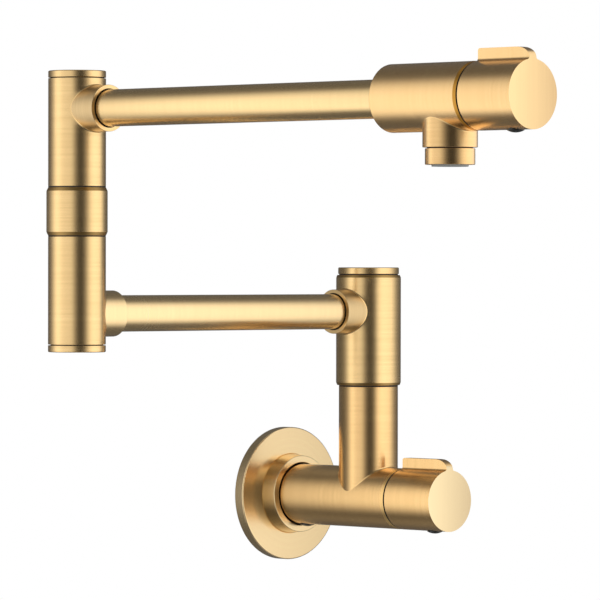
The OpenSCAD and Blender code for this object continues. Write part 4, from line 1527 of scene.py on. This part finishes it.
@dataclass(frozen=True)
class Studio:
    """Camera, lit sheets on both sides, soft light all round and a pale floor well below the part."""

    lens: float = 287.84
    sensor: float = 36.0
    nearest: float = 0.05
    farthest: float = 30.0
    stand: Triple = (-1.850237, -1.923729, 0.127762)
    azimuth: float = -44.086
    pitch: float = -0.44
    roll: float = 0.075
    floor_z: float = -0.42
    floor_size: float = 6.0
    floor_cells: int = 8
    floor_cycles: float = 40.0
    behind: float = 0.12
    ahead: float = 0.045
    walls_meet: Point = (-0.3, 0.6)
    overhead: float = 0.35
    overhead_from: Point = (0.74, 0.97)
    matt_light: float = 1.08
    sheets: Sequence[SoftSheet] = (
        SoftSheet("left_sheet", (-0.44, -0.16), (-0.42, 0.40), (
            (0.0, 0.09), (0.16, 0.11), (0.33, 0.20), (0.42, 0.32), (0.51, 0.48), (0.60, 0.72), (0.69, 0.93),
            (0.76, 0.99), (0.83, 0.95), (0.92, 0.82), (1.0, 0.74))),
        SoftSheet("front_left_sheet", (-0.42, 0.40), (-0.19, 0.855), (
            (0.0, 0.74), (0.175, 0.68), (0.45, 0.66), (0.60, 0.64), (0.72, 0.56), (0.82, 0.46), (0.91, 0.37),
            (1.0, 0.30))),
        SoftSheet("front_sheet", (-0.19, 0.855), (0.0, 0.92), (
            (0.0, 0.30), (0.25, 0.20), (0.5, 0.12), (0.75, 0.075), (1.0, 0.045))),
        SoftSheet("right_sheet", (0.41, -0.36), (0.41, 1.30), (
            (0.0, 0.096), (0.115, 0.171), (0.17, 0.31), (0.205, 0.52), (0.25, 0.75), (0.277, 0.85),
            (0.32, 0.89), (0.37, 0.93), (0.44, 0.95), (0.482, 0.91), (0.50, 0.86), (0.57, 0.71),
            (0.64, 0.48), (0.70, 0.28), (0.80, 0.12), (1.0, 0.036)), high=0.68, high_fade=0.40, strength=1.4),
    )

    @property
    def toward(self) -> Vector:
        """Level direction from the part to the camera."""
        a = math.radians(self.azimuth)
        return Vector((math.sin(a), -math.cos(a), 0))

    def build(self) -> None:
        """Makes the camera, the light and the floor."""
        self._camera()
        self._world()
        self._floor()
        for sheet in self.sheets:
            sheet.build(self.toward)

    def _camera(self) -> None:
        """Stands the camera where the photograph was taken."""
        data = bpy.data.cameras.new("camera")
        data.lens, data.sensor_width, data.sensor_fit = self.lens, self.sensor, "HORIZONTAL"
        data.clip_start, data.clip_end = self.nearest, self.farthest
        camera = bpy.data.objects.new("camera", data)
        camera.matrix_world = Matrix.Translation(self.stand)
        for degrees, axis in ((self.azimuth, "Z"), (90 + self.pitch, "X"), (self.roll, "Z")):
            camera.matrix_world = camera.matrix_world @ Matrix.Rotation(math.radians(degrees), 4, axis)
        bpy.context.scene.collection.objects.link(camera)
        bpy.context.scene.camera = camera

    def _world(self) -> None:
        """Fills the world: white to the camera, even for matt surfaces, dim walls in the reflections."""
        world = bpy.data.worlds.new("studio")
        world.use_nodes = True
        bpy.context.scene.world = world
        graph = Graph(world.node_tree)
        direction = graph.node("ShaderNodeTexCoord", output="Generated")
        front = graph.along(direction, self.toward)
        height = graph.node("ShaderNodeMath", {"operation": "ABSOLUTE"},
                            {0: graph.measure(direction, Axis.Z)})
        walls = graph.ease(front, *self.walls_meet, self.behind, self.ahead)
        level = walls + (self.overhead - walls) * graph.ease(height, *self.overhead_from)
        room, plain, even = [
            graph.node("ShaderNodeBackground", None, {"Color": (1, 1, 1, 1), "Strength": strength})
            for strength in (level, 1.0, self.matt_light)]
        matt, seen = [graph.node("ShaderNodeLightPath", output=f"Is {ray} Ray")
                      for ray in ("Diffuse", "Camera")]
        lit = graph.node("ShaderNodeMixShader", None, {0: matt, 1: room, 2: even})
        graph.node("ShaderNodeOutputWorld", None,
                   {"Surface": graph.node("ShaderNodeMixShader", None, {0: seen, 1: lit, 2: plain})})

    def _floor(self) -> None:
        """Lays the floor."""
        bm = bmesh.new()
        bmesh.ops.create_grid(bm, x_segments=self.floor_cells, y_segments=self.floor_cells,
                              size=self.floor_size / 2, matrix=Matrix.Translation((0, 0, self.floor_z)))
        floor = new_object("floor", bm)
        material, graph = new_material("pale_floor")
        pale = graph.blend(graph.grain(self.floor_cycles, 3.0), (0.95,) * 3, (0.97,) * 3)
        graph.surface({"Metallic": 0.0, "Roughness": 0.9}, {"Base Color": pale})
        floor.data.materials.append(material)
        floor.visible_glossy = False


def main() -> None:
    """Builds the part and its studio."""
    logging.basicConfig(level=logging.INFO, format="%(name)s: %(message)s")
    scene = bpy.context.scene
    scene.view_settings.view_transform = "Standard"
    scene.view_settings.look = "None"
    Studio().build()
    finishes = Finishes()
    shop = Workshop(finishes)
    shop.dress(frame["nodes"], frame["record"]["subparts"])
    WallFlange(shop).build()
    ValveBody(shop).build()
    Lever(shop, "valve_lever", VALVE_PLACE, VALVE_FRONT, "base_lever", "base_handle", "base_handle_plug",
          finishes.barrel_lower, finishes.end_lower).build()
    LowerArm(shop).build()
    UpperArm(shop).build()
    Lever(shop, "spout_lever", SPOUT_PLACE, HEAD_FRONT, "head_lever", "head_handle", "head_handle_plug",
          finishes.barrel, finishes.end_upper).build()


if __name__ == "__main__":
    main()
